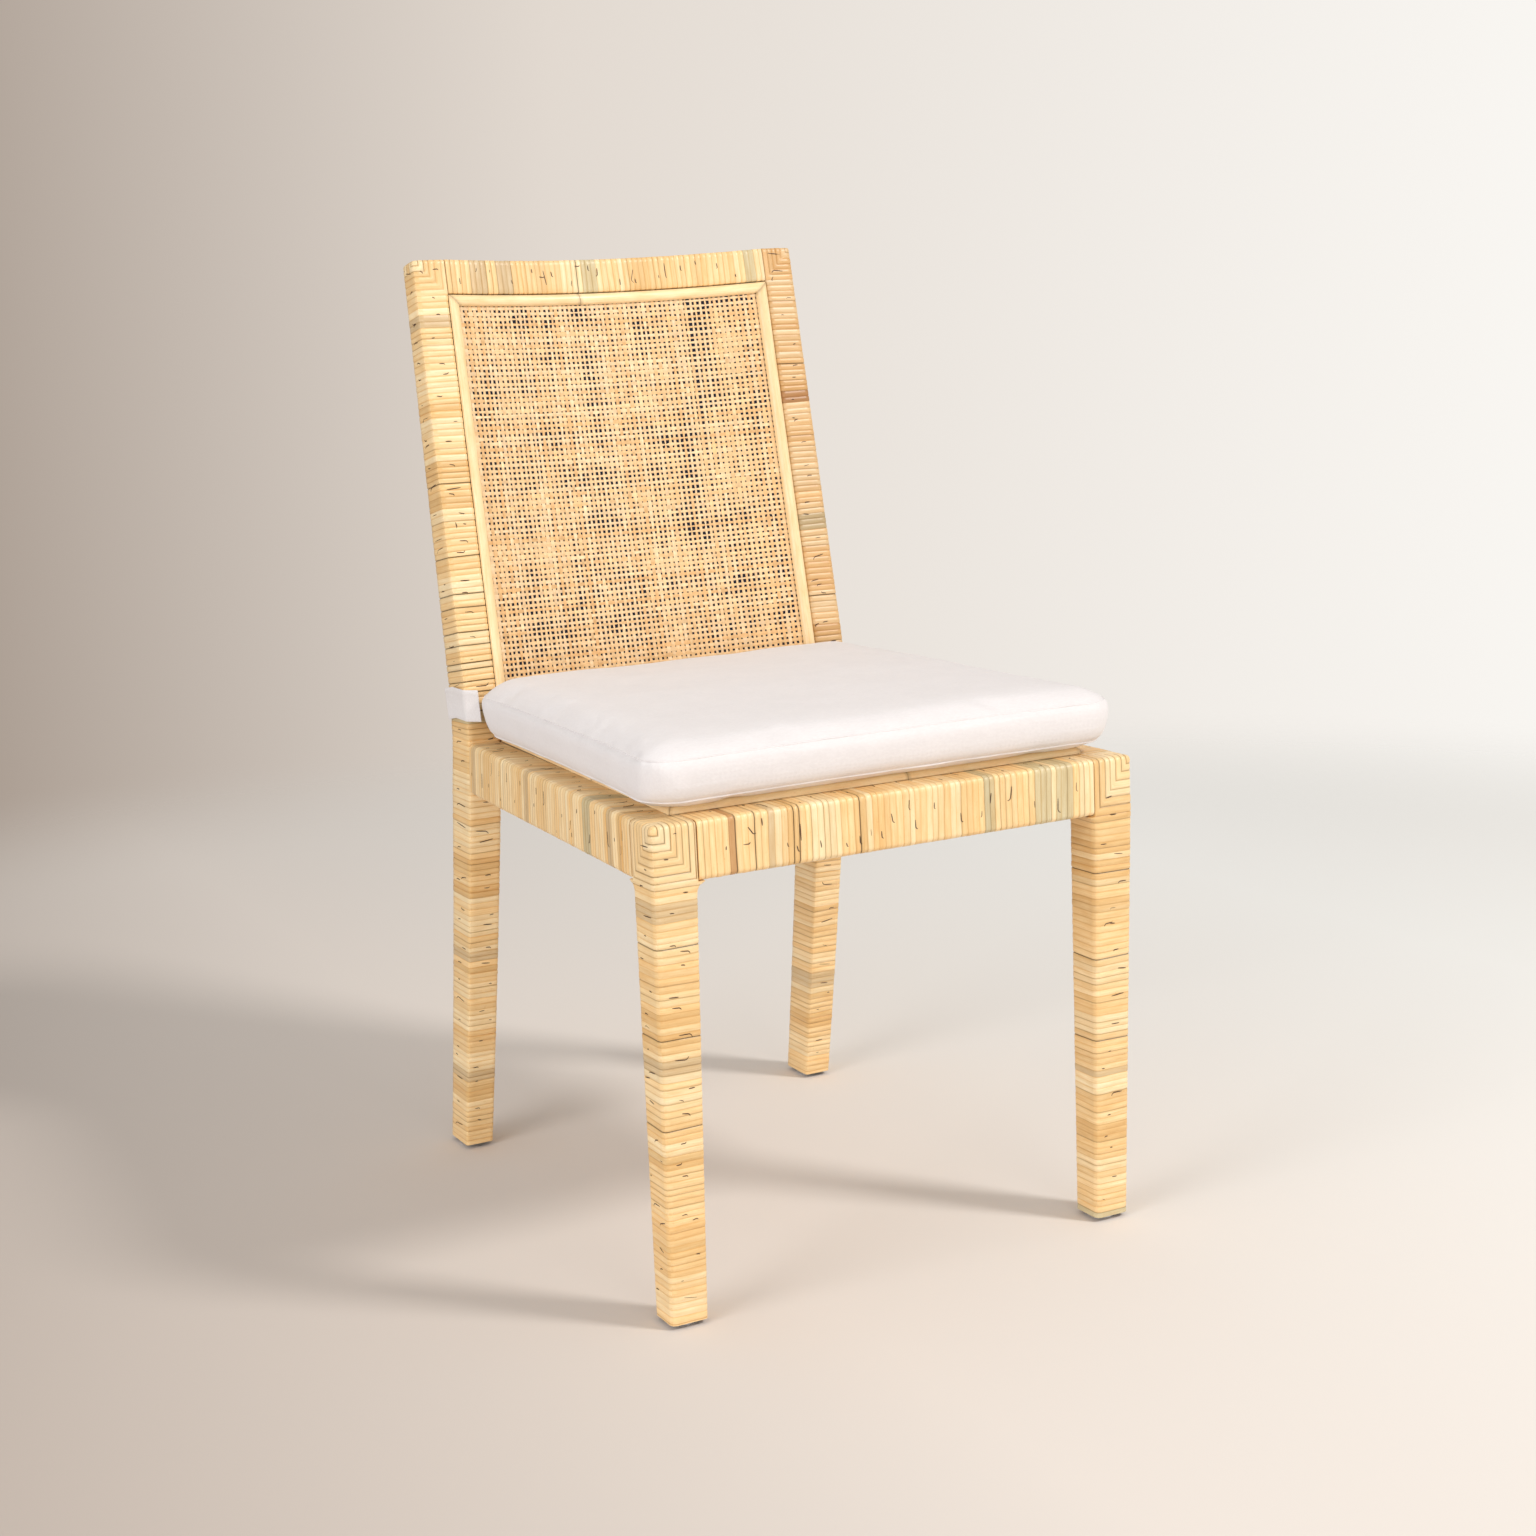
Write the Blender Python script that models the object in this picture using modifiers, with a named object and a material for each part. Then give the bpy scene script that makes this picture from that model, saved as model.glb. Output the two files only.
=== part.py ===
"""Side chair: hardwood frame wrapped in rattan peel, bowed cane back and loose seat cushion.

Metres, +Z up, front of the chair towards -Y, origin on the floor under the middle of its box.
The frame is mortised and tenoned, each member is sheathed in a wrap of split rattan peel,
and the back holds two cane nets, front and rear, under mitred half-round mouldings.
"""
import math

import bmesh
import bpy
from mathutils import Matrix, Vector

# Seat frame, measured to the outside of the wrap
SEAT_WIDTH_FRONT = 0.4700
SEAT_TAPER_EACH_SIDE = 0.0238
SEAT_DEPTH = 0.4616
SEAT_HEIGHT = 0.4340
RAIL_HEIGHT = 0.0505
RAIL_WIDTH = 0.0410

# Front legs
LEG_SECTION = 0.0410
FRONT_FOOT_SECTION = 0.0347
FRONT_FOOT_SIDE_INSET = 0.0022
FRONT_FOOT_SETBACK = 0.0150
FLARE_REACH = 0.0065
FLARE_HEIGHT = 0.0120

# Rear posts, in one piece from floor to crest, bent at the seat
POST_WIDTH_SEAT = 0.0335
POST_WIDTH_TOP = 0.0330
POST_WIDTH_FOOT = 0.0292
POST_DEPTH_FOOT = 0.0454
POST_DEPTH_LEG = 0.0500
POST_DEPTH_SEAT = 0.0470
POST_DEPTH_BACK = 0.0435
POST_DEPTH_TOP = 0.0295
REAR_FOOT_SPLAY = 0.0809
REAR_FOOT_SIDE_SHIFT = 0.0020
LEG_SWEEP_POWER = 1.15
LEG_STATION_SHARES = (0.0, 0.25, 0.5, 0.72)

# Raked back
BACK_RAKE = math.radians(10.3)
BACK_LENGTH = 0.4686
BACK_TAPER_EACH_SIDE = 0.0052
BACK_LINE_ADVANCE = 0.0048
BEND_END = 0.0700
BACK_BOW = 0.0250
CREST_HEIGHT = 0.0340
LOWER_RAIL_HEIGHT = 0.0300

# Rattan peel wrap and clearances
WRAP = 0.0024
FIT = 0.0003
EDGE_RADIUS = 0.0050

# Tenons
TENON_LENGTH = 0.0200
TENON_THICKNESS = 0.0100
TENON_HEIGHT = 0.0180
TENON_STAGGER = 0.0115
TENON_EDGE = 0.0015
CREST_TENON_HEIGHT = 0.0160
CREST_TENON_LENGTH = 0.0160

# Cane nets and the frame that they are stapled to
NET_COLUMNS = 11
NET_ROWS = 13
NET_BAR = 0.0060
CANE_THICKNESS = 0.0012
CANE_RECESS = 0.0020
PANEL_FRAME_BAR = 0.0110
LINING_THICKNESS = 0.0010

# Half-round mouldings
MOULDING_WIDTH = 0.0110
MOULDING_RISE = 0.0050
SEAT_MOULDING_RISE = 0.0065
SEAT_MOULDING_SETBACK = 0.0320

# Seat deck and glue blocks
DECK_THICKNESS = 0.0060
BLOCK_LEG = 0.0420
BLOCK_HEIGHT = 0.0250

# Floor glides
GLIDE_RADIUS = 0.0130
GLIDE_THICKNESS = 0.0040
GLIDE_EDGE = 0.0010
NAIL_RADIUS = 0.0015
NAIL_LENGTH = 0.0120

# Cushion
CUSHION_SIDE_SETBACK_FRONT = 0.0020
CUSHION_SIDE_SETBACK_REAR = 0.0007
CUSHION_FRONT_SETBACK = 0.0030
CUSHION_BACK_GAP = 0.0006
CUSHION_CORNER = 0.0300
CUSHION_DRAW_IN = 0.0030
CUSHION_BULGE = 0.0012
CUSHION_LIFT_OF_SEAM = 0.0065
CUSHION_BOXING = 0.0347
CUSHION_CROWN = 0.0145
CUSHION_FLAT_SHARE = 0.93
CROWN_RING_SHARES = (0.90, 0.72, 0.45, 0.20)
COVER_THICKNESS = 0.0012
ZIP_WIDTH = 0.0030
ZIP_THICKNESS = 0.0010

# Strap of the cushion, in two halves that meet behind the back
STRAP_WIDTH = 0.0305
STRAP_THICKNESS = 0.0015
STRAP_START_HEIGHT = 0.0183
STRAP_CLEARANCE = 0.0005
STRAP_OVERLAP = 0.0600
STRAP_CORNER = 0.0080
STRAP_STEP_LENGTH = 0.0200

# Counts that set how finely curves are drawn
CORNER_STEPS = 2
BOW_STEPS = 10
ARC_STEPS = 6
CUSHION_SIDE_STEPS = 6
ZIP_END_STEPS = 1
STRAP_OVERLAP_STEPS = 3
GLIDE_STEPS = 12
MERGE_DISTANCE = 0.00005

# Places that follow from the sizes above
SIN_RAKE = math.sin(BACK_RAKE)
COS_RAKE = math.cos(BACK_RAKE)
TAN_RAKE = math.tan(BACK_RAKE)
SEAT_WIDTH_REAR = SEAT_WIDTH_FRONT - 2 * SEAT_TAPER_EACH_SIDE
BACK_WIDTH_TOP = SEAT_WIDTH_REAR - 2 * BACK_TAPER_EACH_SIDE
BACK_LINE = SEAT_DEPTH - BACK_LINE_ADVANCE
POST_TAPER = (POST_DEPTH_BACK - POST_DEPTH_TOP) / (BACK_LENGTH - BEND_END)
CREST_REAR = (BACK_LINE + (BACK_LENGTH - EDGE_RADIUS) * SIN_RAKE
              + (BACK_BOW + POST_DEPTH_TOP + EDGE_RADIUS * POST_TAPER) * COS_RAKE)
FOOT_REAR = SEAT_DEPTH + REAR_FOOT_SPLAY + POST_DEPTH_FOOT
OVERALL_DEPTH = max(CREST_REAR, FOOT_REAR)
FRONT_Y = -OVERALL_DEPTH / 2
RAIL_BOTTOM = SEAT_HEIGHT - RAIL_HEIGHT
RAIL_MIDDLE = SEAT_HEIGHT - RAIL_HEIGHT / 2
FOOT_BOTTOM = GLIDE_THICKNESS + FIT
CORE_INSET = WRAP + FIT
FRONT_HALF = SEAT_WIDTH_FRONT / 2
REAR_HALF = SEAT_WIDTH_REAR / 2
TOP_HALF = BACK_WIDTH_TOP / 2
SEAT_CLEAR_HALF = REAR_HALF - POST_WIDTH_SEAT
TOP_CLEAR_HALF = TOP_HALF - POST_WIDTH_TOP
DECK_TOP = SEAT_HEIGHT - CANE_THICKNESS - FIT
PANEL_TOP = BACK_LENGTH - CREST_HEIGHT - FIT
PANEL_BOTTOM = LOWER_RAIL_HEIGHT + FIT
CUSHION_BASE = SEAT_HEIGHT + 2 * FIT + SEAT_MOULDING_RISE
CUSHION_WIDTH_FRONT = SEAT_WIDTH_FRONT - 2 * CUSHION_SIDE_SETBACK_FRONT
CUSHION_WIDTH_REAR = SEAT_WIDTH_REAR - 2 * CUSHION_SIDE_SETBACK_REAR
SIDES = (("left", -1), ("right", 1))

PARTS = None
CUTTERS = None
MATERIALS = {}


def clear_scene():
    for obj in list(bpy.data.objects):
        bpy.data.objects.remove(obj, do_unlink=True)


def new_collection(name):
    collection = bpy.data.collections.new(name)
    bpy.context.scene.collection.children.link(collection)
    return collection


def principled(name, colour, roughness, metallic=0.0):
    material = bpy.data.materials.new(name)
    material.use_nodes = True
    shader = material.node_tree.nodes["Principled BSDF"]
    shader.inputs["Base Color"].default_value = (*colour, 1.0)
    shader.inputs["Roughness"].default_value = roughness
    shader.inputs["Metallic"].default_value = metallic
    MATERIALS[name] = material


def make_materials():
    principled("hardwood", (0.56, 0.38, 0.20), 0.65)
    principled("rattan_peel", (0.82, 0.61, 0.34), 0.45)
    principled("cane", (0.80, 0.57, 0.29), 0.50)
    principled("lining_cloth", (0.05, 0.06, 0.10), 0.95)
    principled("rattan_core", (0.86, 0.66, 0.38), 0.42)
    principled("plywood", (0.62, 0.45, 0.27), 0.70)
    principled("cushion_cloth", (0.85, 0.81, 0.79), 0.90)
    principled("foam", (0.88, 0.84, 0.70), 0.95)
    principled("nylon", (0.80, 0.79, 0.78), 0.60)
    principled("glide_steel", (0.62, 0.64, 0.67), 0.30, 1.0)


def object_from(name, mesh_builder, material, collection=None):
    """Make an object whose mesh is filled by the builder, with outward normals."""
    builder = bmesh.new()
    mesh_builder(builder)
    bmesh.ops.recalc_face_normals(builder, faces=builder.faces)
    mesh = bpy.data.meshes.new(name)
    builder.to_mesh(mesh)
    builder.free()
    obj = bpy.data.objects.new(name, mesh)
    (collection or PARTS).objects.link(obj)
    if material:
        mesh.materials.append(MATERIALS[material])
    return obj


def smooth(obj, degrees=35):
    obj.data.shade_smooth()
    obj.data.set_sharp_from_angle(angle=math.radians(degrees))
    return obj


def make_cutter(name, mesh_builder):
    cutter = object_from(name, mesh_builder, None, CUTTERS)
    cutter.hide_render = True
    cutter.display_type = "WIRE"
    return cutter


def cut(obj, cutters):
    for cutter in cutters:
        modifier = obj.modifiers.new("cut_" + cutter.name, "BOOLEAN")
        modifier.operation = "DIFFERENCE"
        modifier.object = cutter
    return obj


def loops_of(builder, rings):
    return [[builder.verts.new(point) for point in ring] for ring in rings]


def bridge(builder, loops):
    for first, second in zip(loops, loops[1:]):
        count = len(first)
        for index in range(count):
            after = (index + 1) % count
            builder.faces.new((first[index], first[after], second[after], second[index]))


def solid_loft(rings):
    """A closed body through rings of equal point counts, capped at both ends."""
    def build(builder):
        loops = loops_of(builder, rings)
        bridge(builder, loops)
        builder.faces.new(loops[0])
        builder.faces.new(loops[-1])
    return build


def sleeve_loft(outer_rings, inner_rings, closed_end=False):
    """A tube with a wall, open at its start, and open or closed at its end."""
    def build(builder):
        outer = loops_of(builder, outer_rings)
        inner = loops_of(builder, inner_rings)
        bridge(builder, outer)
        bridge(builder, inner)
        bridge(builder, [outer[0], inner[0]])
        if closed_end:
            builder.faces.new(outer[-1])
            builder.faces.new(inner[-1])
        else:
            bridge(builder, [outer[-1], inner[-1]])
    return build


def rounded_rectangle(low_u, high_u, low_v, high_v, radius):
    """Points of a rectangle with rounded corners, counter-clockwise from its low corner."""
    corners = ((low_u + radius, low_v + radius, math.pi), (high_u - radius, low_v + radius, 1.5 * math.pi),
               (high_u - radius, high_v - radius, 0.0), (low_u + radius, high_v - radius, 0.5 * math.pi))
    points = []
    for centre_u, centre_v, start in corners:
        for step in range(CORNER_STEPS + 1):
            angle = start + 0.5 * math.pi * step / CORNER_STEPS
            points.append((centre_u + radius * math.cos(angle), centre_v + radius * math.sin(angle)))
    return points


def inset_rectangle(low_u, high_u, low_v, high_v, inset):
    radius = max(EDGE_RADIUS - inset, FIT)
    return rounded_rectangle(low_u + inset, high_u - inset, low_v + inset, high_v - inset, radius)


def seat_half_width(depth):
    """Half of the seat's width at a distance behind the front rail's face."""
    run = max(depth - LEG_SECTION, 0.0) / (SEAT_DEPTH - LEG_SECTION)
    return FRONT_HALF + (REAR_HALF - FRONT_HALF) * run


def bow(share):
    """How far the back is set behind the straight line between the posts."""
    return BACK_BOW * max(1.0 - share * share, 0.0)


def back_point(x, along, behind):
    """A place on the raked back: along it from the seat, and behind the posts' front faces."""
    return Vector((x, FRONT_Y + BACK_LINE + along * SIN_RAKE + behind * COS_RAKE,
                   SEAT_HEIGHT + along * COS_RAKE - behind * SIN_RAKE))


def clear_half(along):
    """Half of the clear width between the posts at a place along the back."""
    return SEAT_CLEAR_HALF + (TOP_CLEAR_HALF - SEAT_CLEAR_HALF) * along / BACK_LENGTH


def bowed_point(share, along, behind):
    return back_point(share * clear_half(along), along, behind + bow(share))


def post_depth(along):
    return POST_DEPTH_TOP + POST_TAPER * (BACK_LENGTH - along)


def leg_ring(side, outer, width, front, depth, height, inset):
    """A level ring round a leg, from its outer face's place, its front and its two sizes."""
    points = inset_rectangle(outer - width, outer, front, front + depth, inset)
    return [Vector((side * x, FRONT_Y + y, height)) for x, y in points]


def front_leg_at(height):
    """Outer face, width, front face and depth of the front leg at a height under the rail."""
    run = (RAIL_BOTTOM - height) / RAIL_BOTTOM
    width = LEG_SECTION + (FRONT_FOOT_SECTION - LEG_SECTION) * run
    return FRONT_HALF - FRONT_FOOT_SIDE_INSET * run, width, FRONT_FOOT_SETBACK * run, width


def front_leg_rings(side, inset, top):
    foot = leg_ring(side, *front_leg_at(FOOT_BOTTOM), FOOT_BOTTOM, inset)
    knee = leg_ring(side, FRONT_HALF, LEG_SECTION, 0.0, LEG_SECTION, RAIL_BOTTOM, inset)
    head = leg_ring(side, FRONT_HALF, LEG_SECTION, 0.0, LEG_SECTION, top, inset)
    return [foot, knee, head]


def front_leg_wrap_rings(side):
    """The wrap's outside, which swells into the rails on its two inner sides."""
    foot, knee, head = front_leg_rings(side, 0.0, SEAT_HEIGHT)
    rings = [foot]
    for step in range(CORNER_STEPS + 2):
        turn = step / (CORNER_STEPS + 1)
        height = RAIL_BOTTOM - FIT - FLARE_HEIGHT * (1.0 - math.sin(0.5 * math.pi * turn))
        outer, width, front, depth = front_leg_at(height)
        reach = FLARE_REACH * (1.0 - math.cos(0.5 * math.pi * turn))
        rings.append(leg_ring(side, outer, width + reach, front, depth + reach, height, 0.0))
    step_in = [Vector((point.x, point.y, RAIL_BOTTOM - FIT)) for point in knee]
    return rings + [step_in, head]


def rear_leg_front(height):
    """Distance of the rear leg's front face behind the front rail, swept back to the foot."""
    drop = (SEAT_HEIGHT - height) / SEAT_HEIGHT
    return SEAT_DEPTH + REAR_FOOT_SPLAY * drop ** LEG_SWEEP_POWER


def post_rings(side, inset, top_drop):
    """Rings up a rear post: level under the seat, then square to the raked back."""
    rings = []
    for share in LEG_STATION_SHARES:
        height = FOOT_BOTTOM + (RAIL_BOTTOM - FOOT_BOTTOM) * share
        width = POST_WIDTH_FOOT + (POST_WIDTH_SEAT - POST_WIDTH_FOOT) * share
        depth = POST_DEPTH_FOOT + (POST_DEPTH_LEG - POST_DEPTH_FOOT) * share
        outer = REAR_HALF + REAR_FOOT_SIDE_SHIFT * (1.0 - share)
        rings.append(leg_ring(side, outer, width, rear_leg_front(height), depth, height, inset))
    for height, depth in ((RAIL_BOTTOM, POST_DEPTH_LEG), (SEAT_HEIGHT, POST_DEPTH_SEAT)):
        front = rear_leg_front(height)
        rings.append(leg_ring(side, REAR_HALF, POST_WIDTH_SEAT, front, depth, height, inset))
    for along in (BEND_END, BACK_LENGTH - top_drop):
        outer = REAR_HALF + (TOP_HALF - REAR_HALF) * along / BACK_LENGTH
        points = inset_rectangle(clear_half(along), outer, 0.0, post_depth(along), inset)
        rings.append([back_point(side * x, along, behind) for x, behind in points])
    return rings


def level_ring_x(share, half, front, thickness, low, high, inset, bowed):
    """A ring in a plane across X, for rails that run from side to side."""
    points = inset_rectangle(front, front + thickness, low, high, inset)
    offset = bow(share) if bowed else 0.0
    return [Vector((share * half, FRONT_Y + y + offset, z)) for y, z in points]


def shares_across(steps):
    return [2.0 * step / steps - 1.0 for step in range(steps + 1)]


def cross_rail_rings(half, front, inset, bowed):
    """Rings along the front rail, or along the bowed rear rail."""
    steps = BOW_STEPS if bowed else 1
    return [level_ring_x(share, half - FIT, front, RAIL_WIDTH, RAIL_BOTTOM, SEAT_HEIGHT, inset, bowed)
            for share in shares_across(steps)]


def tenon_ring_x(x, front, low, grow):
    points = rounded_rectangle(front - grow, front + TENON_THICKNESS + grow,
                               low - grow, low + TENON_HEIGHT + grow, TENON_EDGE)
    return [Vector((x, FRONT_Y + y, z)) for y, z in points]


def with_tenons(rings, first_tenon, last_tenon):
    """Add a stepped tenon before the first ring and after the last one."""
    return [first_tenon[1], first_tenon[0]] + rings + [last_tenon[0], last_tenon[1]]


def cross_tenon(side, half, front_of_rail, grow):
    """Root and tip rings of a tenon at the end of a rail that runs across X."""
    front = front_of_rail + (RAIL_WIDTH - TENON_THICKNESS) / 2
    low = RAIL_MIDDLE - TENON_STAGGER - TENON_HEIGHT / 2
    root = tenon_ring_x(side * (half - FIT - grow), front, low, grow)
    tip = tenon_ring_x(side * (half + TENON_LENGTH + grow), front, low, grow)
    return root, tip


def side_rail_end(height):
    """Distance behind the front rail of the sloping joint between a side rail and its post."""
    sweep = rear_leg_front(RAIL_BOTTOM) - SEAT_DEPTH
    return SEAT_DEPTH + sweep * (SEAT_HEIGHT - height) / RAIL_HEIGHT


def side_tenon(side, at_rear, grow):
    """Root and tip rings of a tenon at the front or rear end of a side rail."""
    low = RAIL_MIDDLE + TENON_STAGGER - TENON_HEIGHT / 2
    middle = REAR_HALF - POST_WIDTH_SEAT / 2 if at_rear else FRONT_HALF - LEG_SECTION / 2
    half = TENON_THICKNESS / 2 + grow
    points = rounded_rectangle(middle - half, middle + half, low - grow, low + TENON_HEIGHT + grow,
                               TENON_EDGE)
    root, tip = [], []
    for x, z in points:
        inward = FIT + grow
        root_y = side_rail_end(z) - inward if at_rear else LEG_SECTION + inward
        tip_y = SEAT_DEPTH + TENON_LENGTH + grow if at_rear else LEG_SECTION - TENON_LENGTH - grow
        root.append(Vector((side * x, FRONT_Y + root_y, z)))
        tip.append(Vector((side * x, FRONT_Y + tip_y, z)))
    return root, tip


def side_rail_rings(side, inset):
    front = inset_rectangle(FRONT_HALF - LEG_SECTION, FRONT_HALF, RAIL_BOTTOM, SEAT_HEIGHT, inset)
    rear = inset_rectangle(REAR_HALF - POST_WIDTH_SEAT, REAR_HALF, RAIL_BOTTOM, SEAT_HEIGHT, inset)
    return [[Vector((side * x, FRONT_Y + LEG_SECTION + FIT, z)) for x, z in front],
            [Vector((side * x, FRONT_Y + side_rail_end(z) - FIT, z)) for x, z in rear]]


def back_rail_rings(low, high, inset, level_bottom):
    """Rings along the crest or the lower back rail, which follow the bow."""
    rings = []
    for share in shares_across(BOW_STEPS):
        ring = []
        for along, behind in inset_back_section(low, high, inset):
            lift = (behind + bow(share)) * TAN_RAKE * (high - along) / (high - low) if level_bottom else 0.0
            ring.append(back_point(share * (clear_half(along) - FIT), along + lift, behind + bow(share)))
        rings.append(ring)
    return rings


def inset_back_section(low, high, inset):
    """Section of a back rail whose rear face follows the posts' tapering depth."""
    points = inset_rectangle(low, high, 0.0, POST_DEPTH_TOP, inset)
    section = []
    for along, behind in points:
        scale = (post_depth(along) - 2 * inset) / (POST_DEPTH_TOP - 2 * inset)
        section.append((along, inset + (behind - inset) * scale))
    return section


def back_tenon(side, middle_along, middle_behind, grow):
    """Root and tip rings of a tenon of the crest or the lower back rail."""
    half_height = CREST_TENON_HEIGHT / 2 + grow
    half_thickness = TENON_THICKNESS / 2 + grow
    points = rounded_rectangle(middle_along - half_height, middle_along + half_height,
                               middle_behind - half_thickness, middle_behind + half_thickness, TENON_EDGE)
    half = clear_half(middle_along)
    places = (half - FIT - grow, half + CREST_TENON_LENGTH + grow)
    return tuple([back_point(side * x, along, behind) for along, behind in points] for x in places)


def crest_tenon(side, grow):
    return back_tenon(side, BACK_LENGTH - CREST_HEIGHT / 2, POST_DEPTH_TOP / 2, grow)


def lower_tenon(side, grow):
    middle_behind = POST_DEPTH_BACK / 2
    middle_along = (LOWER_RAIL_HEIGHT + middle_behind * TAN_RAKE) / 2
    return back_tenon(side, middle_along, middle_behind, grow)


def make_glide(name, x, y):
    """A steel disc with its nail, turned about its own axis."""
    profile = [(0.0, 0.0), (GLIDE_RADIUS - GLIDE_EDGE, 0.0), (GLIDE_RADIUS, GLIDE_EDGE),
               (GLIDE_RADIUS, GLIDE_THICKNESS - GLIDE_EDGE), (GLIDE_RADIUS - GLIDE_EDGE, GLIDE_THICKNESS),
               (NAIL_RADIUS, GLIDE_THICKNESS), (NAIL_RADIUS, GLIDE_THICKNESS + NAIL_LENGTH - NAIL_RADIUS),
               (0.0, GLIDE_THICKNESS + NAIL_LENGTH)]
    mesh = bpy.data.meshes.new(name)
    builder = bmesh.new()
    verts = [builder.verts.new((radius, 0.0, height)) for radius, height in reversed(profile)]
    for first, second in zip(verts, verts[1:]):
        builder.edges.new((first, second))
    builder.to_mesh(mesh)
    builder.free()
    obj = bpy.data.objects.new(name, mesh)
    obj.location = (x, y, 0.0)
    PARTS.objects.link(obj)
    mesh.materials.append(MATERIALS["glide_steel"])
    screw = obj.modifiers.new("turn", "SCREW")
    screw.steps = GLIDE_STEPS
    screw.render_steps = GLIDE_STEPS
    screw.use_merge_vertices = True
    screw.merge_threshold = MERGE_DISTANCE
    return obj


def nail_hole(name, x, y):
    def build(builder):
        length = NAIL_LENGTH + FIT + GLIDE_THICKNESS / 2
        bmesh.ops.create_cone(builder, cap_ends=True, segments=GLIDE_STEPS, radius1=NAIL_RADIUS + FIT,
                              radius2=NAIL_RADIUS + FIT, depth=length,
                              matrix=Matrix.Translation((x, y, GLIDE_THICKNESS / 2 + length / 2)))
    return make_cutter(name, build)


def foot_middle(side, outer, width, front, depth):
    return side * (outer - width / 2), FRONT_Y + front + depth / 2


def make_front_legs():
    for word, side in SIDES:
        x, y = foot_middle(side, *front_leg_at(FOOT_BOTTOM))
        mortises = [
            make_cutter("front_leg_cross_mortise_" + word,
                        solid_loft(cross_tenon(side, FRONT_HALF - LEG_SECTION, 0.0, FIT))),
            make_cutter("front_leg_side_mortise_" + word, solid_loft(side_tenon(side, False, FIT))),
        ]
        core_rings = front_leg_rings(side, CORE_INSET, SEAT_HEIGHT - CORE_INSET)
        core = object_from("front_leg_core_" + word, solid_loft(core_rings), "hardwood")
        cut(core, mortises + [nail_hole("front_nail_hole_" + word, x, y)])
        cavity = front_leg_rings(side, WRAP, SEAT_HEIGHT - WRAP)
        wrap = object_from("front_leg_wrap_" + word, sleeve_loft(front_leg_wrap_rings(side), cavity, True),
                           "rattan_peel")
        smooth(cut(wrap, mortises))
        smooth(make_glide("front_glide_" + word, x, y))


def make_rear_posts():
    for word, side in SIDES:
        front = rear_leg_front(FOOT_BOTTOM)
        x, y = foot_middle(side, REAR_HALF + REAR_FOOT_SIDE_SHIFT, POST_WIDTH_FOOT, front, POST_DEPTH_FOOT)
        mortises = [
            make_cutter("post_rear_rail_mortise_" + word,
                        solid_loft(cross_tenon(side, SEAT_CLEAR_HALF, SEAT_DEPTH, FIT))),
            make_cutter("post_side_rail_mortise_" + word, solid_loft(side_tenon(side, True, FIT))),
            make_cutter("post_crest_mortise_" + word, solid_loft(crest_tenon(side, FIT))),
            make_cutter("post_lower_rail_mortise_" + word, solid_loft(lower_tenon(side, FIT))),
        ]
        core = object_from("rear_post_core_" + word, solid_loft(post_rings(side, CORE_INSET, CORE_INSET)),
                           "hardwood")
        cut(core, mortises + [nail_hole("rear_nail_hole_" + word, x, y)])
        wrap = object_from("rear_post_wrap_" + word,
                           sleeve_loft(post_rings(side, 0.0, 0.0), post_rings(side, WRAP, WRAP), True),
                           "rattan_peel")
        smooth(cut(wrap, mortises))
        smooth(make_glide("rear_glide_" + word, x, y))


def make_cross_rail(name, half, front, bowed):
    rings = cross_rail_rings(half, front, CORE_INSET, bowed)
    tenons = [cross_tenon(side, half, front, 0.0) for side in (-1, 1)]
    object_from(name + "_core", solid_loft(with_tenons(rings, *tenons)), "hardwood")
    sleeve = sleeve_loft(cross_rail_rings(half, front, 0.0, bowed),
                         cross_rail_rings(half, front, WRAP, bowed))
    smooth(object_from(name + "_wrap", sleeve, "rattan_peel"))


def make_side_rails():
    for word, side in SIDES:
        rings = side_rail_rings(side, CORE_INSET)
        tenons = [side_tenon(side, at_rear, 0.0) for at_rear in (False, True)]
        object_from("side_rail_core_" + word, solid_loft(with_tenons(rings, *tenons)), "hardwood")
        sleeve = sleeve_loft(side_rail_rings(side, 0.0), side_rail_rings(side, WRAP))
        smooth(object_from("side_rail_wrap_" + word, sleeve, "rattan_peel"))


def make_back_rail(name, low, high, level_bottom, tenon):
    rings = back_rail_rings(low, high, CORE_INSET, level_bottom)
    core = solid_loft(with_tenons(rings, tenon(-1, 0.0), tenon(1, 0.0)))
    object_from(name + "_core", core, "hardwood")
    sleeve = sleeve_loft(back_rail_rings(low, high, 0.0, level_bottom),
                         back_rail_rings(low, high, WRAP, level_bottom))
    smooth(object_from(name + "_wrap", sleeve, "rattan_peel"))


def sheet_with_gaps(x_shares, alongs, front_of, rear_of, is_gap):
    """A bowed sheet between two depths, with the cells left out that is_gap names."""
    def build(builder):
        layers = []
        for depth_of in (front_of, rear_of):
            layers.append([[builder.verts.new(bowed_point(share, along, depth_of(along)))
                            for share in x_shares] for along in alongs])
        for row in range(len(alongs) - 1):
            for column in range(len(x_shares) - 1):
                if is_gap(column, row):
                    continue
                for layer in layers:
                    builder.faces.new((layer[row][column], layer[row][column + 1],
                                       layer[row + 1][column + 1], layer[row + 1][column]))
        twins = {}
        for front_row, rear_row in zip(*layers):
            twins.update(zip(front_row, rear_row))
        rims = [edge for edge in builder.edges if len(edge.link_faces) == 1 and edge.verts[0] in twins]
        for first, second in [tuple(edge.verts) for edge in rims]:
            builder.faces.new((first, second, twins[second], twins[first]))
        for vert in [vert for vert in builder.verts if not vert.link_faces]:
            builder.verts.remove(vert)
    return build


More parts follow.
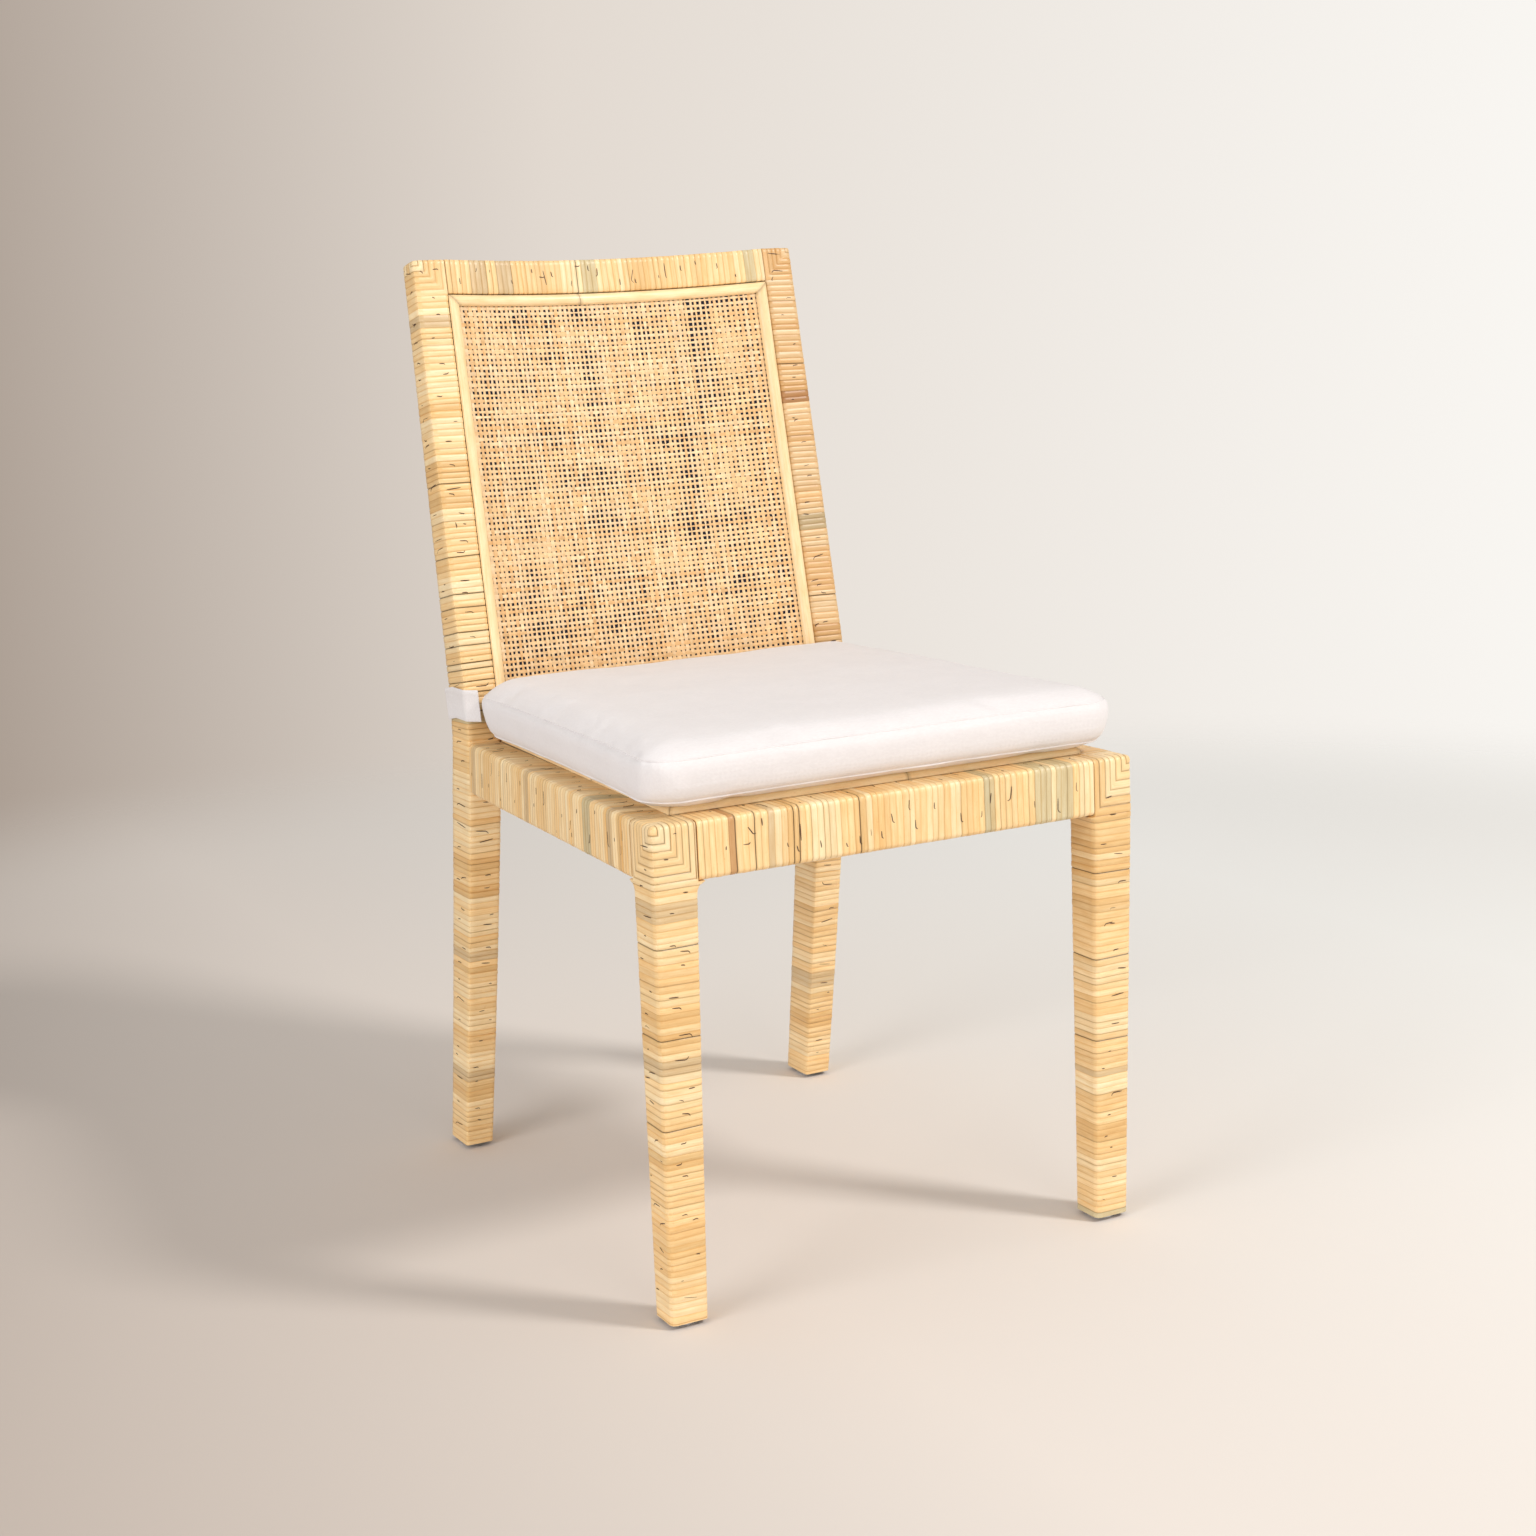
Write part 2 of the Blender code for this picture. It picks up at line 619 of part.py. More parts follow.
def bar_and_gap_places(low, high, border, bar, count):
    """Edges of bars and gaps from low to high: a wide border bar, then gaps and bars in turn."""
    gap = (high - low - 2 * border - (count - 1) * bar) / count
    places = [low, low + border]
    for _ in range(count - 1):
        places.append(places[-1] + gap)
        places.append(places[-1] + bar)
    return places + [high - border, high]


def net_columns():
    """Shares of the half width at the edges of a cane net's bars and gaps."""
    half = clear_half(PANEL_BOTTOM) - FIT
    return [place / half * (1.0 - FIT / half)
            for place in bar_and_gap_places(-half, half, MOULDING_WIDTH, NET_BAR, NET_COLUMNS)]


def make_cane_net(name, front_of, rear_of):
    """A cane sheet drawn as a net, stapled under the mouldings all round."""
    rows = bar_and_gap_places(PANEL_BOTTOM + FIT, PANEL_TOP - FIT, MOULDING_WIDTH, NET_BAR, NET_ROWS)
    build = sheet_with_gaps(net_columns(), rows, front_of, rear_of,
                            lambda column, row: column % 2 and row % 2)
    return object_from(name, build, "cane")


def make_back_lining(front_of, rear_of):
    """A thin dark cloth behind the front cane sheet, stapled to the panel frame with it."""
    rows = [PANEL_BOTTOM + FIT, PANEL_TOP - FIT]
    build = sheet_with_gaps(net_columns(), rows, front_of, rear_of, lambda column, row: False)
    return object_from("back_lining", build, "lining_cloth")


def make_panel_frame(front_of, rear_of):
    """Two bowed rails and two stiles between the posts, which both cane sheets are stapled to."""
    inner = 1.0 - PANEL_FRAME_BAR / clear_half(PANEL_BOTTOM)
    end = 1.0 - 2 * FIT / clear_half(PANEL_BOTTOM)
    low, high = PANEL_BOTTOM + FIT, PANEL_TOP - FIT
    rails = (("bottom", low, low + PANEL_FRAME_BAR), ("top", high - PANEL_FRAME_BAR, high))
    for word, start, stop in rails:
        columns = [end * share for share in shares_across(BOW_STEPS)]
        build = sheet_with_gaps(columns, [start, stop], front_of, rear_of, lambda column, row: False)
        object_from("panel_frame_" + word, build, "hardwood")
    rows = [low + PANEL_FRAME_BAR + FIT, high - PANEL_FRAME_BAR - FIT]
    for word, side in SIDES:
        columns = sorted((side * inner, side * end))
        build = sheet_with_gaps(columns, rows, front_of, rear_of, lambda column, row: False)
        object_from("panel_frame_" + word, build, "hardwood")


def make_back_panel():
    def front_cane(along):
        return CANE_RECESS

    def front_cane_rear(along):
        return CANE_RECESS + CANE_THICKNESS

    def lining_front(along):
        return front_cane_rear(along) + FIT

    def lining_rear(along):
        return lining_front(along) + LINING_THICKNESS

    def rear_cane(along):
        return post_depth(along) - CANE_RECESS

    def rear_cane_front(along):
        return rear_cane(along) - CANE_THICKNESS

    make_cane_net("front_cane_net", front_cane, front_cane_rear)
    make_cane_net("rear_cane_net", rear_cane_front, rear_cane)
    make_back_lining(lining_front, lining_rear)
    make_panel_frame(lambda along: lining_rear(along) + FIT, lambda along: rear_cane_front(along) - FIT)
    for face, surface, outward in (("front", lambda along: CANE_RECESS - FIT, -1),
                                   ("rear", lambda along: post_depth(along) - CANE_RECESS + FIT, 1)):
        make_back_mouldings(face, surface, outward)


def half_round(width, rise):
    """Across and up from the flat base of a half-round moulding."""
    angles = [math.pi * step / ARC_STEPS for step in range(ARC_STEPS + 1)]
    return [(width * (1.0 - math.cos(angle)) / 2, rise * math.sin(angle)) for angle in angles]


def make_back_mouldings(face, surface, outward):
    """Four mitred half-rounds over the edge of a cane sheet."""
    section = half_round(MOULDING_WIDTH - FIT, MOULDING_RISE)
    low, high = PANEL_BOTTOM + FIT, PANEL_TOP - FIT
    for word, edge, inward in (("top", high, -1), ("bottom", low, 1)):
        rings = []
        for share in shares_across(BOW_STEPS):
            ring = []
            for across, rise in section:
                along = edge + inward * across
                half = clear_half(along) - 2 * FIT - across
                x_share = share * half / clear_half(along)
                ring.append(bowed_point(x_share, along, surface(along) + outward * rise))
            rings.append(ring)
        smooth(object_from(face + "_moulding_" + word, solid_loft(rings), "rattan_core"))
    for word, side in SIDES:
        rings = []
        for at_high in (False, True):
            ring = []
            for across, rise in section:
                along = high - across - FIT if at_high else low + across + FIT
                x_share = side * (1.0 - (2 * FIT + across) / clear_half(along))
                ring.append(bowed_point(x_share, along, surface(along) + outward * rise))
            rings.append(ring)
        smooth(object_from(face + "_moulding_" + word, solid_loft(rings), "rattan_core"))


def seat_rear_line(x):
    """Distance behind the front rail of the line where the seat meets the back."""
    return BACK_LINE - 2 * FIT + bow(min(abs(x) / SEAT_CLEAR_HALF, 1.0))


def seat_corner(across, at_rear):
    """Half width and depth of a corner of the seat mouldings, a given way in from their outer edge."""
    if at_rear:
        half = seat_half_width(BACK_LINE) - SEAT_MOULDING_SETBACK - across
        return half, seat_rear_line(half) - across
    depth = SEAT_MOULDING_SETBACK + across
    return seat_half_width(depth) - SEAT_MOULDING_SETBACK - across, depth


def make_seat_mouldings():
    """Four mitred half-rounds over the joint between the rails and the deck."""
    section = half_round(MOULDING_WIDTH, SEAT_MOULDING_RISE)
    base = SEAT_HEIGHT + FIT
    for word, at_rear in (("front", False), ("rear", True)):
        rings = []
        for share in shares_across(BOW_STEPS if at_rear else 1):
            ring = []
            for across, rise in section:
                half, depth = seat_corner(across, at_rear)
                x = share * (half - FIT)
                if at_rear:
                    depth = seat_rear_line(x) - across
                ring.append(Vector((x, FRONT_Y + depth, base + rise)))
            rings.append(ring)
        smooth(object_from("seat_moulding_" + word, solid_loft(rings), "rattan_core"))
    for word, side in SIDES:
        rings = []
        for at_rear in (False, True):
            ring = []
            for across, rise in section:
                half, depth = seat_corner(across, at_rear)
                depth += -FIT if at_rear else FIT
                ring.append(Vector((side * half, FRONT_Y + depth, base + rise)))
            rings.append(ring)
        smooth(object_from("seat_moulding_" + word, solid_loft(rings), "rattan_core"))


def extruded_outline(name, points, low, high, material):
    """A flat outline given a thickness, as a filled 2D curve."""
    curve = bpy.data.curves.new(name, "CURVE")
    curve.dimensions = "2D"
    curve.fill_mode = "BOTH"
    curve.extrude = (high - low) / 2
    spline = curve.splines.new("POLY")
    spline.points.add(len(points) - 1)
    for target, (x, y) in zip(spline.points, points):
        target.co = (x, FRONT_Y + y, 0.0, 1.0)
    spline.use_cyclic_u = True
    curve.materials.append(MATERIALS[material])
    obj = bpy.data.objects.new(name, curve)
    obj.location = (0.0, 0.0, (low + high) / 2)
    PARTS.objects.link(obj)
    return obj


def make_seat_surface():
    """The seat's board inside the rails, and on it a cane sheet flush with their tops."""
    front = RAIL_WIDTH + FIT
    front_corner = FRONT_HALF - LEG_SECTION - FIT
    points = [(-front_corner, front), (front_corner, front)]
    rear_half = SEAT_CLEAR_HALF - FIT
    for share in reversed(shares_across(BOW_STEPS)):
        points.append((share * rear_half, SEAT_DEPTH + bow(share) - FIT - FIT * abs(share)))
    extruded_outline("seat_cane", points, SEAT_HEIGHT - CANE_THICKNESS, SEAT_HEIGHT, "cane")
    extruded_outline("seat_deck", points, DECK_TOP - DECK_THICKNESS, DECK_TOP, "plywood")


def make_glue_blocks():
    """Triangular blocks under the deck, glued into the corners of the rails."""
    high = DECK_TOP - DECK_THICKNESS - FIT
    low = high - BLOCK_HEIGHT
    for word, side in SIDES:
        front = RAIL_WIDTH + FIT
        corner = FRONT_HALF - LEG_SECTION - 2 * FIT
        lean = (FRONT_HALF - LEG_SECTION - SEAT_CLEAR_HALF) / (SEAT_DEPTH - LEG_SECTION)
        points = [(side * corner, front), (side * (corner - BLOCK_LEG), front),
                  (side * (corner - lean * BLOCK_LEG), front + BLOCK_LEG)]
        extruded_outline("glue_block_front_" + word, points, low, high, "hardwood")
        rear = SEAT_DEPTH - FIT
        rear_corner = SEAT_CLEAR_HALF - 2 * FIT
        points = [(side * rear_corner, rear), (side * (rear_corner - BLOCK_LEG), rear),
                  (side * (rear_corner + lean * BLOCK_LEG), rear - BLOCK_LEG)]
        extruded_outline("glue_block_rear_" + word, points, low, high, "hardwood")


def cushion_rear(height):
    """The cushion's rear face leans with the back, clear of the mouldings on it."""
    standing_proud = (MOULDING_RISE - CANE_RECESS + FIT) / COS_RAKE
    return BACK_LINE + (height - SEAT_HEIGHT) * TAN_RAKE - standing_proud - CUSHION_BACK_GAP


def cushion_outline(height, inset):
    """Half widths and depths round the cushion at a height, drawn in between its corners."""
    front = CUSHION_FRONT_SETBACK + inset
    rear = cushion_rear(height) - inset
    radius = CUSHION_CORNER - inset
    front_half = CUSHION_WIDTH_FRONT / 2 - inset
    rear_half = CUSHION_WIDTH_REAR / 2 - inset
    corners = ((-front_half + radius, front + radius, math.pi),
               (front_half - radius, front + radius, 1.5 * math.pi),
               (rear_half - radius, rear - radius, 0.0),
               (-rear_half + radius, rear - radius, 0.5 * math.pi))
    points = []
    for x, y, start in corners:
        for step in range(ARC_STEPS // 2 + 1):
            angle = start + 0.5 * math.pi * step / (ARC_STEPS // 2)
            points.append((x + radius * math.cos(angle), y + radius * math.sin(angle)))
        points.append(None)
    return fill_sides(points, front, rear)


def fill_sides(points, front, rear):
    """Put the points of the four drawn-in sides where the corners leave None."""
    middle = (front + rear) / 2
    filled = []
    count = len(points)
    for index, point in enumerate(points):
        if point is not None:
            filled.append(point)
            continue
        before, after = points[index - 1], points[(index + 1) % count]
        for step in range(1, CUSHION_SIDE_STEPS):
            share = step / CUSHION_SIDE_STEPS
            x = before[0] + (after[0] - before[0]) * share
            y = before[1] + (after[1] - before[1]) * share
            pull = CUSHION_DRAW_IN * math.sin(math.pi * share)
            if abs(after[1] - before[1]) > abs(after[0] - before[0]):
                x -= math.copysign(pull, x)
            else:
                y += pull if y < middle else -pull
            filled.append((x, y))
    return filled


def cushion_ring(height, inset, share=1.0):
    middle = (CUSHION_FRONT_SETBACK + cushion_rear(height)) / 2
    return [Vector((x * share, FRONT_Y + middle + (y - middle) * share, height))
            for x, y in cushion_outline(height, inset)]


def cushion_rings(inset):
    """Rings from the flat underside, up the boxing, over the crown."""
    low_seam = CUSHION_BASE + CUSHION_LIFT_OF_SEAM
    high_seam = low_seam + CUSHION_BOXING
    rings = [cushion_ring(CUSHION_BASE + inset, inset, CUSHION_FLAT_SHARE), cushion_ring(low_seam, inset),
             cushion_ring((low_seam + high_seam) / 2, inset - CUSHION_BULGE), cushion_ring(high_seam, inset)]
    crown = CUSHION_CROWN - inset
    for share in CROWN_RING_SHARES:
        height = high_seam + crown * (1.0 - share * share) / (1.0 - CROWN_RING_SHARES[-1] ** 2)
        rings.append(cushion_ring(height, inset, share))
    return rings


def rear_side_point(height, inset, step):
    """A place on the cushion's rear side, a whole number of side steps from its right corner."""
    reach = CUSHION_WIDTH_REAR / 2 - CUSHION_CORNER
    share = step / CUSHION_SIDE_STEPS
    depth = cushion_rear(height) - inset - CUSHION_DRAW_IN * math.sin(math.pi * share)
    return Vector((reach * (1.0 - 2.0 * share), FRONT_Y + depth, height))


def zip_rings():
    """Rings along the zip, which lies in the slit and follows the drawn-in rear side."""
    middle = CUSHION_BASE + CUSHION_LIFT_OF_SEAM + CUSHION_BOXING / 2
    surface = CUSHION_BULGE * (ZIP_WIDTH / CUSHION_BOXING - 1.0)
    low, high = middle - ZIP_WIDTH / 2, middle + ZIP_WIDTH / 2
    inside = surface + ZIP_THICKNESS
    corners = ((low, surface), (low, inside), (high, inside), (high, surface))
    return [[rear_side_point(height, inset, step) for height, inset in corners]
            for step in range(ZIP_END_STEPS, CUSHION_SIDE_STEPS - ZIP_END_STEPS + 1)]


def zip_slit(rings):
    """A cutter round the zip, through the cover's rear side."""
    ends = [point for ring in (rings[0], rings[-1]) for point in ring]
    half_length = max(point.x for point in ends) + FIT
    low, high = min(point.z for point in ends) - FIT, max(point.z for point in ends) + FIT
    middle = max(point.y for point in ends)

    def build(builder):
        bmesh.ops.create_cube(builder, size=1.0)
        bmesh.ops.scale(builder, vec=(2 * half_length, CUSHION_CORNER, high - low), verts=builder.verts)
        bmesh.ops.translate(builder, vec=(0.0, middle, (low + high) / 2), verts=builder.verts)
    return make_cutter("zip_slit", build)


def make_cushion():
    rings = zip_rings()
    cover = object_from("cushion_cover", solid_loft(cushion_rings(0.0)), "cushion_cloth")
    cavity = make_cutter("cushion_cavity", solid_loft(cushion_rings(COVER_THICKNESS)))
    smooth(cut(cover, [cavity, zip_slit(rings)]), 60)
    smooth(object_from("cushion_foam", solid_loft(cushion_rings(COVER_THICKNESS + FIT)), "foam"), 60)
    object_from("cushion_zip", solid_loft(rings), "nylon")


def strap_path(side):
    """Middle line of one half of the strap, from the cushion's corner to past the middle of the back."""
    outside = REAR_HALF + STRAP_CLEARANCE + STRAP_THICKNESS / 2
    behind = strap_rest_behind() + STRAP_THICKNESS / 2
    points = []
    start_share = math.sqrt(0.5)
    corner_x = CUSHION_WIDTH_REAR / 2 - CUSHION_CORNER
    corner_behind = -(MOULDING_RISE - CANE_RECESS + FIT + CUSHION_BACK_GAP * COS_RAKE) - CUSHION_CORNER
    reach = (CUSHION_CORNER + CUSHION_BULGE + 2 * FIT) * start_share
    points.append((corner_x + reach, corner_behind + reach))
    points.append((outside, points[0][1] + (outside - points[0][0])))
    for step in range(ARC_STEPS + 1):
        angle = 0.5 * math.pi * step / ARC_STEPS
        points.append((outside - STRAP_CORNER * (1.0 - math.cos(angle)),
                       behind - STRAP_CORNER * (1.0 - math.sin(angle))))
    step_start = STRAP_OVERLAP / 2 + STRAP_STEP_LENGTH
    run_start = outside - STRAP_CORNER
    run = [run_start + (step_start - run_start) * step / BOW_STEPS for step in range(1, BOW_STEPS + 1)]
    run += [-share * STRAP_OVERLAP / 2 for share in shares_across(STRAP_OVERLAP_STEPS)]
    for x in run:
        points.append((x, behind + bow(min(abs(x) / SEAT_CLEAR_HALF, 1.0)) + overlap_offset(side, x)))
    return [(side * x, w) for x, w in points]


def strap_rest_behind():
    """Inner face of the strap behind the posts, clear of their rear faces at the seat."""
    rear_at_seat = SEAT_DEPTH + POST_DEPTH_SEAT - BACK_LINE
    return rear_at_seat * COS_RAKE + STRAP_CLEARANCE


def overlap_offset(side, x):
    """The right half passes outside the left half where they overlap."""
    if side < 0:
        return 0.0
    run = (STRAP_OVERLAP / 2 + STRAP_STEP_LENGTH - x) / STRAP_STEP_LENGTH
    run = min(max(run, 0.0), 1.0)
    return (STRAP_THICKNESS + FIT) * run * run * (3.0 - 2.0 * run)


def band_rings(path):
    """Rings along a flat band that stands on edge along the back."""
    rings = []
    for index, (x, behind) in enumerate(path):
        before = path[max(index - 1, 0)]
        after = path[min(index + 1, len(path) - 1)]
        run = Vector((after[0] - before[0], after[1] - before[1])).normalized()
        across = Vector((-run.y, run.x)) * (STRAP_THICKNESS / 2)
        low, high = STRAP_START_HEIGHT, STRAP_START_HEIGHT + STRAP_WIDTH
        rings.append([back_point(x + sign * across.x, along, behind + sign * across.y)
                      for sign, along in ((1, low), (-1, low), (-1, high), (1, high))])
    return rings


def make_straps():
    for word, side in SIDES:
        object_from("strap_" + word, solid_loft(band_rings(strap_path(side))), "cushion_cloth")


def main():
    global PARTS, CUTTERS
    clear_scene()
    PARTS = new_collection("side_chair")
    CUTTERS = new_collection("cutters")
    make_materials()
    make_front_legs()
    make_rear_posts()
    make_cross_rail("front_rail", FRONT_HALF - LEG_SECTION, 0.0, False)
    make_cross_rail("rear_rail", SEAT_CLEAR_HALF, SEAT_DEPTH, True)
    make_side_rails()
    make_back_rail("crest_rail", BACK_LENGTH - CREST_HEIGHT, BACK_LENGTH, False, crest_tenon)
    make_back_rail("lower_back_rail", FIT, LOWER_RAIL_HEIGHT, True, lower_tenon)
    make_back_panel()
    make_seat_mouldings()
    make_seat_surface()
    make_glue_blocks()
    make_cushion()
    make_straps()


main()
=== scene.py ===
"""Looks of the side chair: peel-wrapped frame, woven cane back, mouldings, cushion and strap."""

import math
import random

import bmesh
import bpy
import numpy as np
from mathutils import Matrix, Vector, noise
from mathutils.bvhtree import BVHTree


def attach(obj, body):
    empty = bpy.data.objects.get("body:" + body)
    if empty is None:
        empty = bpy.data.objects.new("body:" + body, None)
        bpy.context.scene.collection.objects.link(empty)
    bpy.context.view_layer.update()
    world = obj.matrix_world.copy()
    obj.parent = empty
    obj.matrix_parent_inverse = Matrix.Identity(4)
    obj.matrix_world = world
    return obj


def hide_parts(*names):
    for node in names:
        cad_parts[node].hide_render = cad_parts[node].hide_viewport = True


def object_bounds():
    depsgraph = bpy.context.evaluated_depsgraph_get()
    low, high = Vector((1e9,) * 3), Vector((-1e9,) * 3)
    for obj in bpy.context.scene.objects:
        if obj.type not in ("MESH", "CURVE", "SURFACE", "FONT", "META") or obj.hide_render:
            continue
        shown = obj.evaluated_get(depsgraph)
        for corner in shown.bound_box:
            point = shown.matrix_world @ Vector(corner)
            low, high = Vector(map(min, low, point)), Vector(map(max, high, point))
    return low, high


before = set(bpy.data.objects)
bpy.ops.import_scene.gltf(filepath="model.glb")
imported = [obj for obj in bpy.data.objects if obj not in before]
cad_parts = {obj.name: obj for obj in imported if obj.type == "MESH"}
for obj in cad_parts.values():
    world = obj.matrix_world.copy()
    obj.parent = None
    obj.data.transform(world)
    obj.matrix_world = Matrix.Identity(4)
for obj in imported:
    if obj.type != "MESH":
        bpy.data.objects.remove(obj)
CAD_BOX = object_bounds()
RNG = random.Random(41)

# Sizes that part.py has too, in metres
SEAT_HEIGHT = 0.4340
RAIL_HEIGHT = 0.0505
RAIL_WIDTH = 0.0410
RAIL_BOTTOM = SEAT_HEIGHT - RAIL_HEIGHT
SEAT_DEPTH = 0.4616
FRONT_HALF = 0.2350
REAR_HALF = 0.2112
TOP_HALF = 0.2060
LEG_SECTION = 0.0410
FRONT_FOOT_SECTION = 0.0347
FRONT_FOOT_SIDE_INSET = 0.0022
FRONT_FOOT_SETBACK = 0.0150
FLARE_REACH = 0.0065
FLARE_HEIGHT = 0.0120
POST_WIDTH_SEAT = 0.0335
POST_WIDTH_TOP = 0.0330
POST_WIDTH_FOOT = 0.0292
POST_DEPTH_FOOT = 0.0454
POST_DEPTH_LEG = 0.0500
POST_DEPTH_SEAT = 0.0470
POST_DEPTH_BACK = 0.0435
POST_DEPTH_TOP = 0.0295
REAR_FOOT_SPLAY = 0.0809
REAR_FOOT_SIDE_SHIFT = 0.0020
LEG_SWEEP_POWER = 1.15
BACK_RAKE = math.radians(10.3)
BACK_LENGTH = 0.4686
BEND_END = 0.0700
BACK_SETBACK = 0.0048
BACK_LINE = SEAT_DEPTH - BACK_SETBACK
BACK_BOW = 0.0250
CREST_HEIGHT = 0.0340
LOWER_RAIL_HEIGHT = 0.0300
FOOT_BOTTOM = 0.0043
FIT = 0.0003
TINY = 1e-9
SEAM_SLACK = 1e-7
CANE_RECESS = 0.0020
CANE_THICKNESS = 0.0012
CANE_MIDDLE = CANE_RECESS + CANE_THICKNESS / 2
MOULDING_WIDTH = 0.0110
MOULDING_RISE = 0.0050
SEAT_MOULDING_RISE = 0.0065
SEAT_MOULDING_SETBACK = 0.0320
EDGE_RADIUS = 0.0050
SIN_RAKE = math.sin(BACK_RAKE)
COS_RAKE = math.cos(BACK_RAKE)
TAN_RAKE = math.tan(BACK_RAKE)
FRONT_Y = CAD_BOX[0][1]
SEAT_CLEAR_HALF = REAR_HALF - POST_WIDTH_SEAT
TOP_CLEAR_HALF = TOP_HALF - POST_WIDTH_TOP
POST_TAPER = (POST_DEPTH_BACK - POST_DEPTH_TOP) / (BACK_LENGTH - BEND_END)
PANEL_TOP = BACK_LENGTH - CREST_HEIGHT - FIT
PANEL_BOTTOM = LOWER_RAIL_HEIGHT + FIT
SIDES = (("left", -1), ("right", 1))

# Peel strands
STRAND = 0.0058
STRAND_SPREAD_SHARE = 0.14
GROOVE = 0.00045
CROWN_POWER = 8
STRAND_LIFT = 0.00014
TIGHT_RADIUS = 0.0005
POST_RADIUS = 0.0032
ROW_SHARES = (0.0, 0.14, 0.5, 0.86)
COLUMN_SHARES = (0.0, 0.16, 0.84)
SLANT = 0.0170
SLANT_FADE = 0.0350
STRAND_REST_SHARE = 0.08
STRAND_RUNS = (1, 1, 2, 2, 3)
BRIGHTNESS_SHARE = 0.03
WARMTH_SHARE = 0.02
BLUE_SHARE = 2.4
SEAM_SHADE_SHARES = (0.94, 0.90, 0.86, 0.82, 0.76, 0.58)
SEAM_DEPTH_SHARES = (0.7, 1.15)
DARK_SEAM_SHADE_SHARE = 0.14
DARK_SEAM_DEPTH_SHARE = 2.0
SEAM_TINT_SHARES = np.array((0.97, 0.84, 0.66))
FIBRE_STEP_SHARE = 0.37
WOBBLE = 0.00035
WOBBLE_ROUND_RATE = 61.0
WOBBLE_ALONG_RATE = 23.0
WOBBLE_DRIFT = 3.0
WRAP_SMOOTH_DEGREES = 50

# Cane weave
WEAVE_PITCH_ACROSS = 0.0052
WEAVE_PITCH_ALONG = 0.0053
WEAVE_RISE = 0.00035
RIBBON_THICKNESS = 0.00035
RIBBON_SHARE = 0.575
RIBBON_CHANGE_SHARE = 0.20
RIBBON_JITTER_SHARE = 0.085
RIBBON_PICKS = (0, 0, 0, 1, 1, 2, 2, 3)
RIBBON_TONE_SHARE = 0.02
RIBBON_RIPPLE_SHARE = 0.06
COLUMN_WANDER_SHARE = 0.0011
ROW_WANDER = 0.00022
SLOPE_STEP_SHARE = 0.01
PLAID_FAST_SHARES = (0.31, 0.29)
PLAID_SLOW_SHARE = 0.04
PATCH_RATE_SHARES = (0.16, 0.15)
STRIPE_WEIGHT_SHARE = 0.75
PATCH_WEIGHT_SHARE = 0.45
PLAID_PHASES = {-1: 3.3, 1: 7.7}
CROSS_PHASE = 9.0
PATCH_PHASE = 20.0


def srgb(red, green, blue):
    """A linear colour from its 8-bit display values."""
    values = np.array((red, green, blue)) / 255.0
    return np.where(values <= 0.04045, values / 12.92, ((values + 0.055) / 1.055) ** 2.4)


def paint(red, green, blue):
    return tuple(srgb(red, green, blue))


TONES = {
    "straw": srgb(253, 232, 191),
    "tan": srgb(250, 221, 171),
    "honey": srgb(244, 212, 159),
    "amber": srgb(234, 199, 143),
    "green": srgb(214, 203, 168),
    "grey": srgb(220, 198, 160),
    "brown": srgb(202, 160, 112),
}
TONE_WEIGHTS = (("straw", 36), ("tan", 42), ("honey", 15), ("amber", 3), ("green", 1.5), ("grey", 2.5))
RIBBON_TONES = np.array([srgb(245, 214, 170), srgb(242, 207, 158), srgb(248, 221, 183), srgb(237, 197, 144)])
WHITE = (1.0, 1.0, 1.0)


# Objects and meshes

def collection(name):
    made = bpy.data.collections.new(name)
    bpy.context.scene.collection.children.link(made)
    return made


DRESS = collection("dress")
STAGE = collection("stage")


def object_of(name, mesh, body, material, replaced=()):
    """An object that rides a body, in its material, and stands for the CAD nodes it replaces."""
    obj = bpy.data.objects.new(name, mesh)
    DRESS.objects.link(obj)
    mesh.materials.clear()
    mesh.materials.append(material)
    if replaced:
        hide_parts(*replaced)
    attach(obj, body)
    return obj


def turn_outward(mesh):
    builder = bmesh.new()
    builder.from_mesh(mesh)
    bmesh.ops.recalc_face_normals(builder, faces=builder.faces)
    builder.to_mesh(mesh)
    builder.free()


def smooth_under(mesh, degrees):
    mesh.shade_smooth()
    mesh.set_sharp_from_angle(angle=math.radians(degrees))


def mesh_of(name, vertices, faces, smooth_degrees):
    mesh = bpy.data.meshes.new(name)
    mesh.from_pydata([tuple(v) for v in vertices], [], [tuple(f) for f in faces])
    turn_outward(mesh)
    smooth_under(mesh, smooth_degrees)
    return mesh


def set_colours(mesh, name, values, domain="POINT"):
    """Store linear colours, one for each vertex or face corner."""
    attribute = mesh.attributes.new(name, "FLOAT_COLOR", domain)
    rgba = np.ones((len(values), 4), np.float32)
    rgba[:, :3] = values
    attribute.data.foreach_set("color", rgba.ravel())


def set_vectors(mesh, name, values, domain="POINT"):
    """Store vectors, one for each vertex or face corner."""
    attribute = mesh.attributes.new(name, "FLOAT_VECTOR", domain)
    attribute.data.foreach_set("vector", np.asarray(values, np.float32).ravel())


def band_faces(low, high, around):
    """Faces between two rings that start at the given numbers."""
    faces = []
    for index in range(around):
        after = (index + 1) % around
        faces.append((low + index, low + after, high + after, high + index))
    return faces


def sweep_faces(rings, around, offset=0):
    """Faces of a closed sweep through rings of equal counts, numbered ring by ring."""
    faces = []
    for ring in range(rings - 1):
        faces += band_faces(offset + ring * around, offset + (ring + 1) * around, around)
    faces.append([offset + index for index in range(around)])
    faces.append([offset + (rings - 1) * around + index for index in range(around)])
    return faces


# Materials

